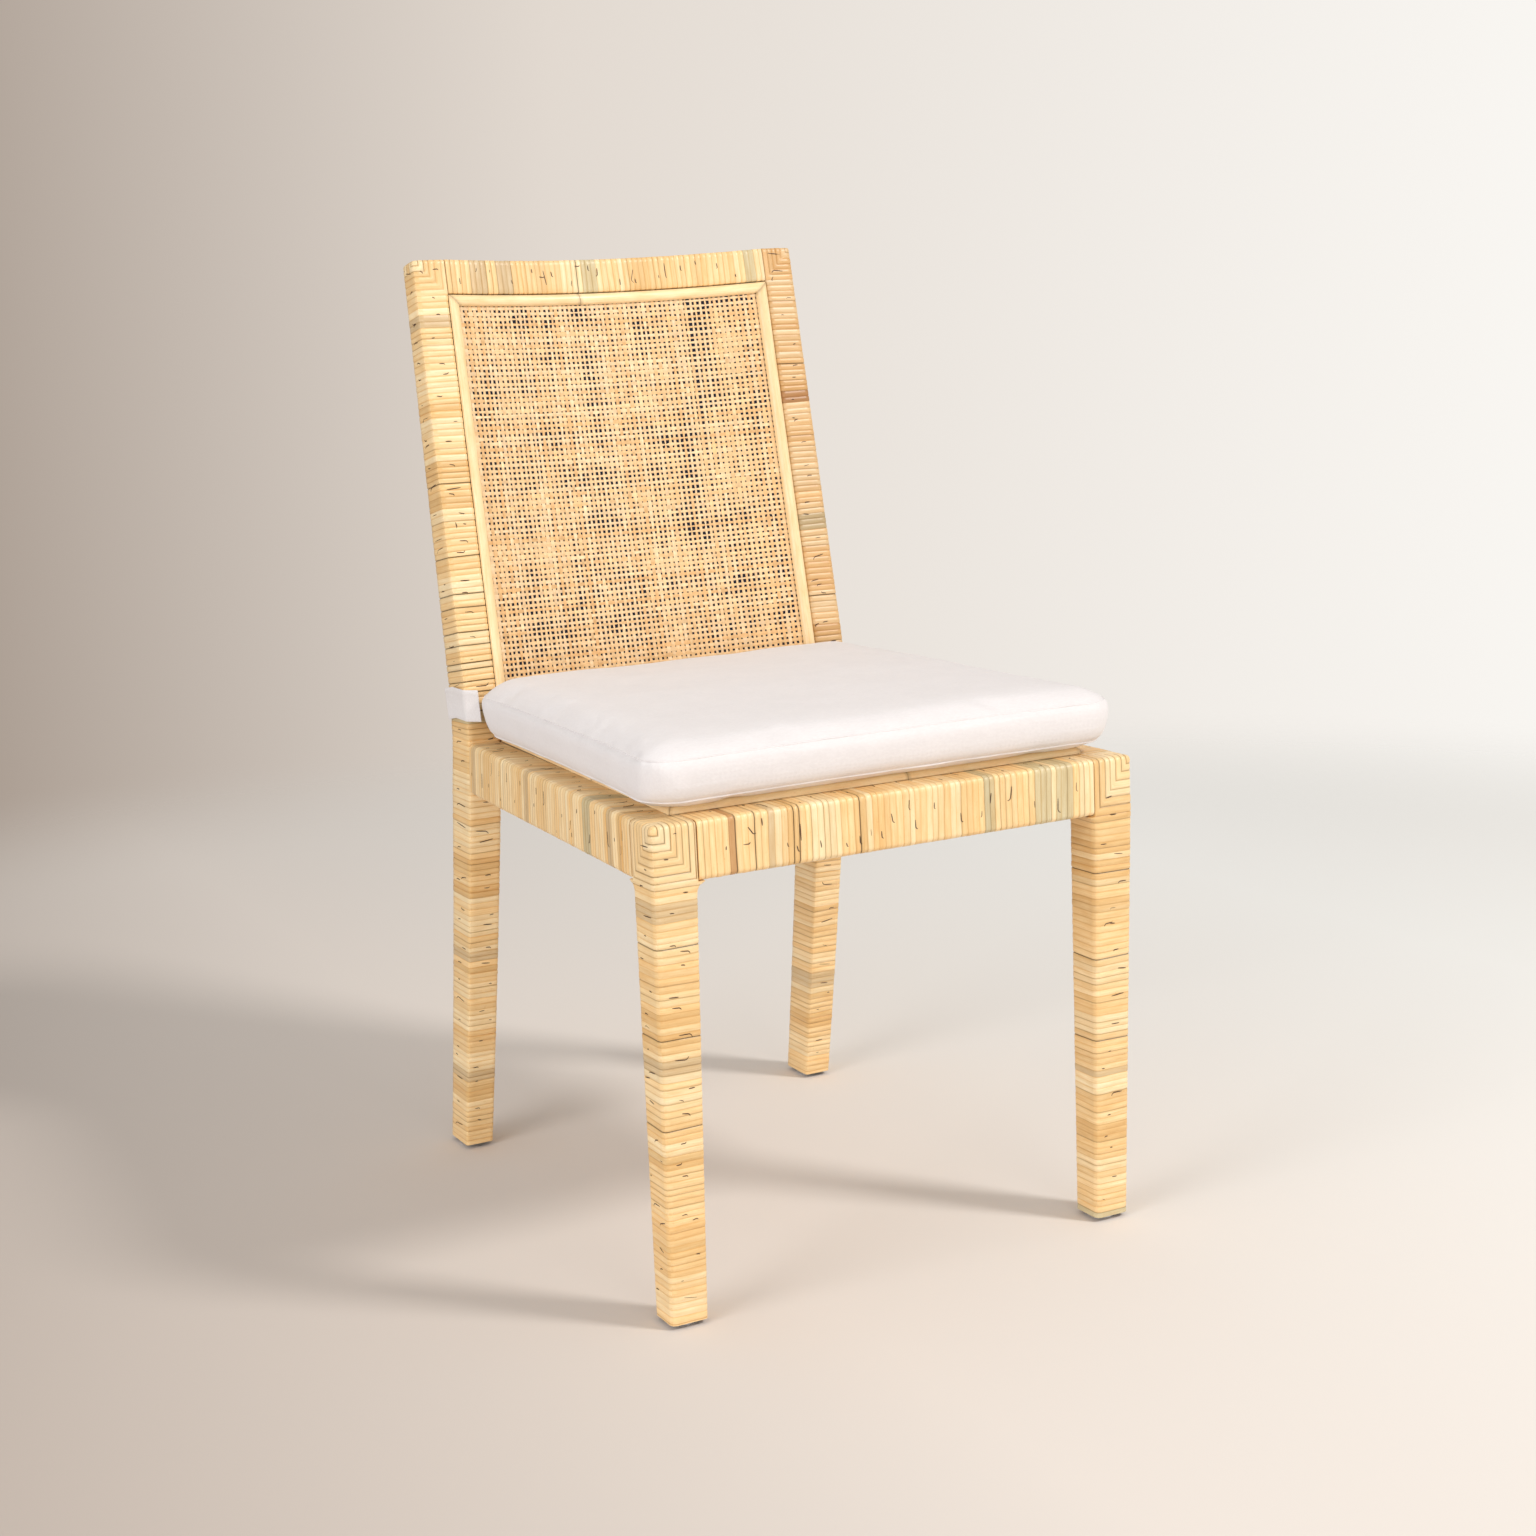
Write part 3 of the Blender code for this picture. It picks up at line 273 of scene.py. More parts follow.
def new_material(name, roughness, specular=0.5):
    material = bpy.data.materials.new(name)
    material.use_nodes = True
    shader = material.node_tree.nodes["Principled BSDF"]
    shader.inputs["Roughness"].default_value = roughness
    shader.inputs["Specular IOR Level"].default_value = specular
    return material, material.node_tree, shader


def add_node(tree, kind, values=None, **settings):
    node = tree.nodes.new(kind)
    for key, value in settings.items():
        setattr(node, key, value)
    for key, value in (values or {}).items():
        node.inputs[key].default_value = value
    return node


def scaled_coordinates(tree, source, scale):
    mapping = add_node(tree, "ShaderNodeMapping", {"Scale": scale})
    tree.links.new(source, mapping.inputs["Vector"])
    return mapping.outputs["Vector"]


def noise_value(tree, vector, scale, detail=3.0, roughness=0.55):
    texture = add_node(tree, "ShaderNodeTexNoise", {"Scale": scale, "Detail": detail, "Roughness": roughness})
    tree.links.new(vector, texture.inputs["Vector"])
    return texture.outputs["Fac"]


def spread(tree, value, low, high, from_low=0.25, from_high=0.75):
    """Map a noise value on to a range."""
    ranged = add_node(tree, "ShaderNodeMapRange", {"From Min": from_low, "From Max": from_high,
                                                   "To Min": low, "To Max": high})
    tree.links.new(value, ranged.inputs["Value"])
    return ranged.outputs["Result"]


def times(tree, first, second):
    """Multiply two colours or values as colours."""
    mix = add_node(tree, "ShaderNodeMix", data_type="RGBA", blend_type="MULTIPLY")
    mix.inputs["Factor"].default_value = 1.0
    tree.links.new(first, mix.inputs["A"])
    tree.links.new(second, mix.inputs["B"])
    return mix.outputs["Result"]


def blended(tree, factor, first, second):
    """Mix between two fixed colours or sockets by a factor."""
    mix = add_node(tree, "ShaderNodeMix", data_type="RGBA")
    tree.links.new(factor, mix.inputs["Factor"])
    for key, value in (("A", first), ("B", second)):
        if isinstance(value, bpy.types.NodeSocket):
            tree.links.new(value, mix.inputs[key])
        else:
            mix.inputs[key].default_value = (*value, 1.0)
    return mix.outputs["Result"]


def bump(tree, shader, height, distance, strength=1.0):
    node = add_node(tree, "ShaderNodeBump", {"Distance": distance, "Strength": strength})
    tree.links.new(height, node.inputs["Height"])
    tree.links.new(node.outputs["Normal"], shader.inputs["Normal"])


FIBRE_NOISES = {"streaks": ((1150.0, 26.0, 30.0), 4.0), "mottle": ((190.0, 42.0, 30.0), 3.0),
                "pores": ((1500.0, 300.0, 30.0), 2.0)}
WARM_SHARES = (1.0, 0.90, 0.76)
MOTTLE_HIGH = (1.03, 1.03, 1.03)
PORE_LOW_SHARE = 0.66
PORE_HIGH_SHARE = 0.80
PORE_TINT = (0.80, 0.68, 0.54)


def rattan_material(name, roughness, streak_low, mottle_low, bump_depth):
    """Rattan whose tone and fibre run are stored on the mesh: streaks, mottling, pores and fine bump."""
    material, tree, shader = new_material(name, roughness, 0.45)
    tone = add_node(tree, "ShaderNodeAttribute", attribute_name="tone")
    fibre = add_node(tree, "ShaderNodeAttribute", attribute_name="fibre")
    noises = {kind: noise_value(tree, scaled_coordinates(tree, fibre.outputs["Vector"], scale), 1.0, detail)
              for kind, (scale, detail) in FIBRE_NOISES.items()}
    streak_tint = blended(tree, spread(tree, noises["streaks"], 0.0, 1.0),
                          tuple(streak_low * v for v in WARM_SHARES), WHITE)
    mottle_tint = blended(tree, spread(tree, noises["mottle"], 0.0, 1.0),
                          tuple(mottle_low * v for v in WARM_SHARES), MOTTLE_HIGH)
    pore_tint = blended(tree, spread(tree, noises["pores"], 0.0, 1.0, PORE_LOW_SHARE, PORE_HIGH_SHARE),
                        WHITE, PORE_TINT)
    colour = times(tree, tone.outputs["Color"], times(tree, streak_tint, times(tree, mottle_tint, pore_tint)))
    tree.links.new(colour, shader.inputs["Base Color"])
    bump(tree, shader, noises["streaks"], bump_depth, 0.6)
    return material


# Radians of phase per metre that the wave texture has at a scale of one
WAVE_RATE = 20.0
# Metres per radian of the cloth's ripple, which repeats every 4.4 mm
RIPPLE_RADIAN = 0.0007
SLUB_SCALE = (260.0, 900.0, 500.0)
CLOTH_MOTTLE_SCALE = 38.0
CLOTH_MOTTLE_LOW = (0.965, 0.965, 0.965)
CLOTH_BUMP = 0.00018


def crossing_waves(tree, place, axes, values):
    """Sine bands along each axis, multiplied with each other."""
    crossed = None
    for axis in axes:
        wave = add_node(tree, "ShaderNodeTexWave", values, bands_direction=axis, wave_profile="SIN")
        tree.links.new(place, wave.inputs["Vector"])
        crossed = times(tree, crossed, wave.outputs["Color"]) if crossed else wave.outputs["Color"]
    return crossed


def object_place(tree):
    return add_node(tree, "ShaderNodeTexCoord").outputs["Object"]


def cloth_material(name, colour, shade):
    """Cloth with a soft crossing ripple, slubs and a faint mottle."""
    material, tree, shader = new_material(name, 0.92, 0.25)
    shader.inputs["Sheen Weight"].default_value = 0.12
    shader.inputs["Sheen Roughness"].default_value = 0.45
    place = object_place(tree)
    ripple = crossing_waves(tree, place, "XYZ", {"Scale": 1.0 / RIPPLE_RADIAN / WAVE_RATE, "Distortion": 0.6,
                                                 "Detail": 1.0, "Detail Scale": 3.0})
    slubs = noise_value(tree, scaled_coordinates(tree, place, SLUB_SCALE), 1.0)
    mottle = noise_value(tree, place, CLOTH_MOTTLE_SCALE)
    base = blended(tree, spread(tree, slubs, 0.0, 1.0), shade, colour)
    soft = blended(tree, spread(tree, mottle, 0.0, 1.0), CLOTH_MOTTLE_LOW, WHITE)
    tree.links.new(times(tree, base, soft), shader.inputs["Base Color"])
    height = add_node(tree, "ShaderNodeMath", operation="ADD")
    tree.links.new(ripple, height.inputs[0])
    tree.links.new(slubs, height.inputs[1])
    bump(tree, shader, height.outputs[0], CLOTH_BUMP, 0.5)
    return material


def noise_material(name, light, dark, roughness, depth, scale=(1, 1, 1), rate=1.0, detail=4.0, rough=0.55):
    """A material whose colour and bump come from one noise."""
    material, tree, shader = new_material(name, roughness)
    grain = noise_value(tree, scaled_coordinates(tree, object_place(tree), scale), rate, detail, rough)
    tree.links.new(blended(tree, spread(tree, grain, 0.0, 1.0), dark, light), shader.inputs["Base Color"])
    bump(tree, shader, grain, depth, 0.5)
    return material


WOOD_BUMP = 0.0002
# Bare woods: name, light, dark, noise scale along each axis, roughness
GRAINED = {
    "hardwood": ("hardwood", (0.52, 0.34, 0.18), (0.40, 0.24, 0.11), (90.0, 90.0, 9.0), 0.65),
    "plywood": ("plywood", (0.60, 0.44, 0.27), (0.50, 0.35, 0.20), (7.0, 80.0, 80.0), 0.70),
}


def grained_material(name, light, dark, scale, roughness):
    """Bare wood, its grain drawn out by the scale."""
    return noise_material(name, light, dark, roughness, WOOD_BUMP, scale, detail=5.0, rough=0.6)


# Fine materials: name, light, dark, size of a speck, roughness, depth of bump
SPECKLED = {
    "steel": ("glide_steel", (0.62, 0.64, 0.67), (0.50, 0.52, 0.55), 0.002, 0.30, 0.00002),
    "foam": ("foam", (0.86, 0.81, 0.62), (0.76, 0.70, 0.50), 0.0012, 0.95, 0.0005),
    "nylon": ("nylon", (0.80, 0.79, 0.78), (0.68, 0.67, 0.66), 0.0010, 0.60, 0.0002),
    # The back lining's near-black navy is painted shade: a dark sheet inside the cane back that stands for
    # the shade in its cavity.
    "lining": ("lining_cloth", (0.012, 0.014, 0.034), (0.006, 0.007, 0.020), 0.0009, 0.95, 0.0001),
    "mark": ("peel_mark", paint(92, 58, 34), paint(52, 32, 20), 0.0012, 0.60, 0.0001),
}


def speckled_material(name, light, dark, size, roughness, depth):
    return noise_material(name, light, dark, roughness, depth, rate=1.0 / size)


SEAT_SPECK_SCALE = 120.0
SEAT_HOLE_LOW_SHARE = 0.62
SEAT_HOLE_HIGH_SHARE = 0.80
SEAT_CANE_DARK = paint(206, 160, 98)
SEAT_CANE_LIGHT = paint(234, 198, 144)
# Painted shade: the holes are not cut, and this dark brown stands for the shade seen through them.
SEAT_HOLE = paint(60, 48, 40)
SEAT_HOLE_DEPTH = 0.0006


def seat_cane_material():
    """Close cane weave on the flat seat sheet: crossing ribbons with small holes, their dark colour painted
    shade.
    """
    material, tree, shader = new_material("cane_sheet", 0.5)
    place = object_place(tree)
    holes = crossing_waves(tree, place, "XY", {"Scale": math.tau / WAVE_RATE / WEAVE_PITCH_ACROSS})
    specks = noise_value(tree, place, SEAT_SPECK_SCALE)
    golden = blended(tree, spread(tree, specks, 0.0, 1.0), SEAT_CANE_DARK, SEAT_CANE_LIGHT)
    dark = spread(tree, holes, 0.0, 1.0, SEAT_HOLE_LOW_SHARE, SEAT_HOLE_HIGH_SHARE)
    tree.links.new(blended(tree, dark, golden, SEAT_HOLE), shader.inputs["Base Color"])
    bump(tree, shader, holes, -SEAT_HOLE_DEPTH, 0.7)
    return material


PEEL_BUMP = 0.00010
CANE_BUMP = 0.00008


def make_materials():
    materials = {
        "peel": rattan_material("rattan_peel", 0.36, 0.88, 0.93, PEEL_BUMP),
        "cane": rattan_material("cane_ribbon", 0.45, 0.90, 0.90, CANE_BUMP),
        "core": rattan_material("rattan_core", 0.34, 0.92, 0.94, CANE_BUMP),
        "cushion": cloth_material("cushion_cloth", paint(232, 226, 224), paint(226, 219, 217)),
        "strap": cloth_material("strap_cloth", paint(231, 225, 223), paint(223, 216, 213)),
        "seat_cane": seat_cane_material(),
    }
    materials.update({kind: grained_material(*values) for kind, values in GRAINED.items()})
    materials.update({kind: speckled_material(*values) for kind, values in SPECKLED.items()})
    materials["steel"].node_tree.nodes["Principled BSDF"].inputs["Metallic"].default_value = 1.0
    return materials


MATERIALS = make_materials()

# Materials of the CAD nodes that stay, by a part of the node's name
# The back lining takes the near-black colour that is painted shade inside the cane back.
NODE_MATERIALS = (("glide", "steel"), ("seat_deck", "plywood"), ("seat_cane", "seat_cane"),
                  ("back_lining", "lining"), ("cushion_zip", "nylon"), ("_core", "hardwood"),
                  ("panel_frame", "hardwood"), ("glue_block", "hardwood"))


def dress_cad_nodes():
    """Give the CAD nodes that stay a material of their own."""
    for name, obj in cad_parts.items():
        for part, kind in NODE_MATERIALS:
            if part in name:
                obj.data.materials.clear()
                obj.data.materials.append(MATERIALS[kind])
                break


# Places on the chair

def bow(share):
    """How far the back bows behind its chord, at a share of its half width."""
    return BACK_BOW * np.maximum(1.0 - np.square(share), 0.0)


def back_point(x, along, behind):
    """Places on the raked back, as rows of x, y and z."""
    x, along, behind = np.broadcast_arrays(x, along, behind)
    y = FRONT_Y + BACK_LINE + along * SIN_RAKE + behind * COS_RAKE
    return np.stack((x, y, SEAT_HEIGHT + along * COS_RAKE - behind * SIN_RAKE), axis=-1)


def clear_half(along):
    return SEAT_CLEAR_HALF + (TOP_CLEAR_HALF - SEAT_CLEAR_HALF) * along / BACK_LENGTH


def bowed_point(share, along, behind):
    """A place on the bowed back, at a share of its half width."""
    return back_point(share * clear_half(along), along, behind + bow(share))


def post_depth(along):
    return POST_DEPTH_TOP + POST_TAPER * (BACK_LENGTH - along)


def level_corners(side, outer, width, front, depth, height):
    """Corners of a level section: outer front, inner front, outer rear, inner rear."""
    near, far = FRONT_Y + front, FRONT_Y + front + depth
    return [[(side * outer, near, height), (side * outer, far, height)],
            [(side * (outer - width), near, height), (side * (outer - width), far, height)]]


def front_leg_corners(side, drop):
    """Section of a front leg at a distance under the seat's top."""
    height = SEAT_HEIGHT - drop
    if height > RAIL_BOTTOM - FIT / 2:
        return level_corners(side, FRONT_HALF, LEG_SECTION, 0.0, LEG_SECTION, height)
    run = (RAIL_BOTTOM - height) / RAIL_BOTTOM
    width = LEG_SECTION + (FRONT_FOOT_SECTION - LEG_SECTION) * run
    under = (RAIL_BOTTOM - FIT - height) / FLARE_HEIGHT
    turn = min(max(1.0 - under, 0.0), 1.0)
    reach = FLARE_REACH * (1.0 - math.sqrt(1.0 - turn * turn))
    outer = FRONT_HALF - FRONT_FOOT_SIDE_INSET * run
    return level_corners(side, outer, width + reach, FRONT_FOOT_SETBACK * run, width + reach, height)


def rear_leg_front(height):
    drop = (SEAT_HEIGHT - height) / SEAT_HEIGHT
    return SEAT_DEPTH + REAR_FOOT_SPLAY * drop ** LEG_SWEEP_POWER


def rear_leg_corners(side, height):
    if height >= RAIL_BOTTOM:
        share = (height - RAIL_BOTTOM) / RAIL_HEIGHT
        depth = POST_DEPTH_LEG + (POST_DEPTH_SEAT - POST_DEPTH_LEG) * share
        return level_corners(side, REAR_HALF, POST_WIDTH_SEAT, rear_leg_front(height), depth, height)
    share = (height - FOOT_BOTTOM) / (RAIL_BOTTOM - FOOT_BOTTOM)
    width = POST_WIDTH_FOOT + (POST_WIDTH_SEAT - POST_WIDTH_FOOT) * share
    depth = POST_DEPTH_FOOT + (POST_DEPTH_LEG - POST_DEPTH_FOOT) * share
    outer = REAR_HALF + REAR_FOOT_SIDE_SHIFT * (1.0 - share)
    return level_corners(side, outer, width, rear_leg_front(height), depth, height)


def raked_corners(side, along):
    outer = REAR_HALF + (TOP_HALF - REAR_HALF) * along / BACK_LENGTH
    depth = post_depth(along)
    return [[back_point(side * x, along, behind) for behind in (0.0, depth)]
            for x in (outer, clear_half(along))]


def post_corners(side, drop):
    """Section of a rear post at a distance from its top, smoothly bent over the seat."""
    along = BACK_LENGTH - drop
    if along >= BEND_END:
        return raked_corners(side, along)
    if along <= 0.0:
        return rear_leg_corners(side, SEAT_HEIGHT + along)
    t = along / BEND_END
    low = np.array(rear_leg_corners(side, SEAT_HEIGHT))
    high = np.array(raked_corners(side, BEND_END))
    up = np.array((0.0, 0.0, BEND_END))
    raked = np.array((0.0, SIN_RAKE, COS_RAKE)) * BEND_END
    return (low * (2 * t ** 3 - 3 * t ** 2 + 1) + high * (3 * t ** 2 - 2 * t ** 3)
            + up * (t ** 3 - 2 * t ** 2 + t) + raked * (t ** 3 - t ** 2))


# Wrapped members

class Member:
    """A bar with four flat sides and rounded arrises, laid out by p and q across it and r along it."""

    def __init__(self, corners_of, length, stations, width, depth, edge=EDGE_RADIUS,
                 tight=(), tight_length=0.0, round_start=False):
        places = np.linspace(0.0, length, stations)
        places = np.unique(np.concatenate((places, [tight_length, tight_length + FIT])))
        corners = np.array([corners_of(place) for place in places], float)
        first = corners[0] - (corners[1] - corners[0]) / (places[1] - places[0]) * EDGE_RADIUS
        last = corners[-1] + (corners[-1] - corners[-2]) / (places[-1] - places[-2]) * EDGE_RADIUS
        self.places = np.concatenate(([-EDGE_RADIUS], places, [length + EDGE_RADIUS]))
        self.corners = np.concatenate(([first], corners, [last]))
        self.width, self.depth, self.length, self.edge = width, depth, length, edge
        self.tight, self.tight_length, self.round_start = tight, tight_length, round_start

    def corner(self, r, i, j):
        values = self.corners[:, i, j, :]
        return np.stack([np.interp(r, self.places, values[:, axis]) for axis in range(3)], axis=-1)

    def radius(self, r, axis, nominal):
        """Arris radius in the section's own scale, low and high; tight where another member butts."""
        other = self.corner(r, 1, 0) if axis == "p" else self.corner(r, 0, 1)
        real = np.linalg.norm(other - self.corner(r, 0, 0), axis=-1)
        low = self.edge * nominal / real
        if axis not in self.tight:
            return low, low
        fade = np.clip((r - self.tight_length) / EDGE_RADIUS, 0.0, 1.0)
        return low, TIGHT_RADIUS + (low - TIGHT_RADIUS) * fade

    def place(self, p, q, r, lift=0.0):
        """World places on the rounded bar, raised by lift along the outward direction."""
        p, q, r = (np.asarray(v, float) for v in np.broadcast_arrays(p, q, r))
        start = self.edge if self.round_start else 0.0
        axes = []
        for value, size, radii in ((p, self.width, self.radius(r, "p", self.width)),
                                   (q, self.depth, self.radius(r, "q", self.depth)),
                                   (r, np.inf, (start, 0.0))):
            low, high = radii
            below, above = value < low, value > size - high
            inner = np.where(below, low, np.where(above, size - high, value))
            reach = np.where(below, low, np.where(above, high, 1.0))
            radius = np.where(below, low, np.where(above, high, 0.0))
            axes.append((inner, (value - inner) / reach, radius))
        length = np.sqrt(sum(excess * excess for _, excess, _ in axes))
        moved = []
        for inner, excess, radius in axes:
            direction = excess / np.maximum(length, TINY)
            moved.append(inner + (radius + lift) * direction)
        a = (moved[0] / self.width)[..., None]
        b = (moved[1] / self.depth)[..., None]
        r = moved[2]
        return ((self.corner(r, 0, 0) * (1 - a) + self.corner(r, 1, 0) * a) * (1 - b)
                + (self.corner(r, 0, 1) * (1 - a) + self.corner(r, 1, 1) * a) * b)


def pick_tone():
    total = sum(weight for _, weight in TONE_WEIGHTS)
    chosen = RNG.uniform(0.0, total)
    for name, weight in TONE_WEIGHTS:
        chosen -= weight
        if chosen <= 0.0:
            return name
    return "tan"


class Strands:
    """Boundaries, tones, heights and seam shades of the strands along a member."""

    def __init__(self, length, accents=(), dark_places=(), corner=0.0):
        count = int(length / STRAND * (1.0 + STRAND_SPREAD_SHARE)) + 3
        widths = [STRAND * (1.0 + RNG.uniform(-STRAND_SPREAD_SHARE, STRAND_SPREAD_SHARE))
                  for _ in range(count)]
        self.seams = np.concatenate(([0.0], np.cumsum(widths)))
        tones = self.drawn_tones(count)
        for start, end, name in accents:
            for index in range(self.index(start), self.index(end) + 1):
                tones[index] = TONES[name] * (1.0 + RNG.gauss(0.0, BRIGHTNESS_SHARE))
        self.tones = np.array(tones)
        self.lifts = np.array([RNG.uniform(-1.0, 1.0) * STRAND_LIFT for _ in range(count)])
        self.shades = np.array([RNG.choice(SEAM_SHADE_SHARES) for _ in range(count + 1)])
        self.depths = np.array([RNG.uniform(*SEAM_DEPTH_SHARES) for _ in range(count + 1)])
        in_corner = self.seams[:count + 1] < corner
        self.shades[in_corner] *= CORNER_SHADE_SHARE
        self.depths[in_corner] *= CORNER_DEPTH_SHARE
        for place in dark_places:
            nearest = int(np.argmin(np.abs(self.seams - place)))
            self.shades[nearest] = DARK_SEAM_SHADE_SHARE
            self.depths[nearest] = DARK_SEAM_DEPTH_SHARE

    @staticmethod
    def drawn_tones(count):
        """A tone for each strand, in short runs of one kind of peel."""
        tones, tone, left = [], "tan", 0
        for _ in range(count):
            if left == 0:
                tone, left = pick_tone(), RNG.choice(STRAND_RUNS)
            left -= 1
            brightness = 1.0 + RNG.gauss(0.0, BRIGHTNESS_SHARE)
            warmth = RNG.gauss(0.0, WARMTH_SHARE)
            tones.append(TONES[tone] * brightness * np.array((1.0, 1.0 - warmth, 1.0 - BLUE_SHARE * warmth)))
        return tones

    def strands_at(self, places):
        found = np.searchsorted(self.seams, places, side="right") - 1
        return np.clip(found, 0, len(self.seams) - 2)

    def index(self, place):
        return int(self.strands_at(place))

    def lines(self, limit, shares):
        """Places from 0 to the limit at the given shares of each strand."""
        made = []
        for low, high in zip(self.seams, self.seams[1:]):
            made.extend(low + share * (high - low) for share in shares)
        made = [value for value in made if value < limit - STRAND * STRAND_REST_SHARE]
        return np.array(made + [limit])

    def look(self, s):
        """Strand index, crown (1 at a seam, 0 in the middle) and nearest seam for places s."""
        s = np.asarray(s, float)
        index = self.strands_at(s + SEAM_SLACK)
        low, high = self.seams[index], self.seams[index + 1]
        share = np.clip((s - low) / (high - low), 0.0, 1.0)
        crown = np.abs(2.0 * share - 1.0) ** CROWN_POWER
        return index, crown, np.where(share < 0.5, index, index + 1)

    def lift(self, s):
        """Height of the peel at places s, down in the groove at a seam."""
        index, crown, nearest = self.look(s)
        return self.lifts[index] * (1.0 - crown) - GROOVE * crown * self.depths[nearest]


def nested_place(r, block, reach):
    """Strand coordinate of a place along a leg: squeezed inside the corner block, plain beyond it."""
    if not block:
        return np.asarray(r, float)
    return np.where(r < block, r * reach / block, reach + r - block)


def along_of_nested(s, block, reach):
    """The place along a leg that a strand coordinate has, the reverse of nested_place."""
    if not block:
        return np.asarray(s, float)
    return np.where(s < reach, s * block / reach, block + s - reach)


def strand_pattern(p, q, r, block, reach):
    """Strand coordinate, and the coordinate along the strand, at box places."""
    plain = nested_place(r, block, reach)
    if not block:
        return plain, None
    s = np.maximum(np.maximum(p, q), plain)
    along = np.where(s <= plain + TINY, np.nan, np.where(p >= q, r + q, r + p))
    return s, along


def folded(q, depth, fold):
    """Distance from the nearer outer arris, where strands nest from both of them."""
    return depth / 2 - np.abs(q - depth / 2) if fold else q


def corner_looks(member, strands, grid, block, reach, fold):
    """Colour and fibre coordinates of each face corner."""
    p, q, r = (values[grid.faces] for values in (grid.p, grid.q, grid.r))
    s, along = strand_pattern(p, folded(q, member.depth, fold), r, block, reach)
    middle_q = folded(q.mean(1), member.depth, fold)
    middle_s, middle_along = strand_pattern(p.mean(1), middle_q, r.mean(1), block, reach)
    strand, _, _ = strands.look(middle_s)
    _, crown, nearest = strands.look(s)
    if along is None:
        along = grid.t
    else:
        ringed = np.isnan(middle_along)[:, None]
        along = np.where(ringed | np.isnan(along), grid.t, along)
    shade = 1.0 - (1.0 - strands.shades[nearest]) * crown
    tint = 1.0 - (1.0 - SEAM_TINT_SHARES) * crown[..., None]
    colours = strands.tones[strand][:, None, :] * shade[..., None] * tint
    fibres = np.stack((s, along, np.broadcast_to(strand[:, None] * FIBRE_STEP_SHARE, s.shape)), axis=-1)
    return colours.reshape(-1, 3), fibres.reshape(-1, 3)


def slanted(r, p, width, length, slant):
    """Places along a rail, with strands that lean over its top."""
    if not slant:
        return r
    fade = fade_in(r, SLANT_FADE) * fade_in(length - r, SLANT_FADE)
    return r - slant * np.square(p / width) * fade


def wobble(r, t, phase):
    """Small wander of the strands' edges round a member."""
    drift = WOBBLE_DRIFT * np.sin(r * WOBBLE_ALONG_RATE + phase)
    return WOBBLE * np.sin(t * WOBBLE_ROUND_RATE + phase + drift)


def fade_in(distance, reach):
    return np.clip(distance / reach, 0.0, 1.0)


class Grid:
    """Box places and faces of a wrap: rings round the member, and a top where a corner block has one."""

    def __init__(self, p_lines, q_lines, r_lines, has_top):
        last_p, last_q = len(p_lines) - 1, len(q_lines) - 1
        around = ([(i, 0) for i in range(last_p)] + [(last_p, j) for j in range(last_q)]
                  + [(i, last_q) for i in range(last_p, 0, -1)] + [(0, j) for j in range(last_q, 0, -1)])
        count, rows = len(around), len(r_lines)
        ring_p = np.array([p_lines[i] for i, _ in around])
        ring_q = np.array([q_lines[j] for _, j in around])
        step = np.abs(np.diff(np.append(ring_p, ring_p[0]))) + np.abs(np.diff(np.append(ring_q, ring_q[0])))
        ring_t = np.concatenate(([0.0], np.cumsum(step)))
        self.p, self.q, self.r = np.tile(ring_p, rows), np.tile(ring_q, rows), np.repeat(r_lines, count)
        row, column = np.divmod(np.arange((rows - 1) * count), count)
        after = (column + 1) % count
        low, high = row * count, (row + 1) * count
        self.faces = np.stack((low + column, low + after, high + after, high + column), axis=1)
        self.t = np.stack((ring_t[column], ring_t[column + 1], ring_t[column + 1], ring_t[column]), axis=1)
        self.caps = [list(range((rows - 1) * count, rows * count))]
        if has_top:
            self.add_top(p_lines, q_lines, around, rows * count)
        else:
            self.caps.append(list(range(count)))

    def add_top(self, p_lines, q_lines, around, used):
        """Close the start with a grid of faces that meet the first ring."""
        last_p, last_q = len(p_lines) - 1, len(q_lines) - 1
        number = {place: index for index, place in enumerate(around)}
        inside = [(i, j) for i in range(1, last_p) for j in range(1, last_q)]
        number.update({place: used + index for index, place in enumerate(inside)})
        self.p = np.concatenate((self.p, [p_lines[i] for i, _ in inside]))
        self.q = np.concatenate((self.q, [q_lines[j] for _, j in inside]))
        self.r = np.concatenate((self.r, np.zeros(len(inside))))
        top = np.array([(number[i, j], number[i + 1, j], number[i + 1, j + 1], number[i, j + 1])
                        for i in range(last_p) for j in range(last_q)])
        self.faces = np.concatenate((self.faces, top))
        self.t = np.concatenate((self.t, self.p[top] + self.q[top]))


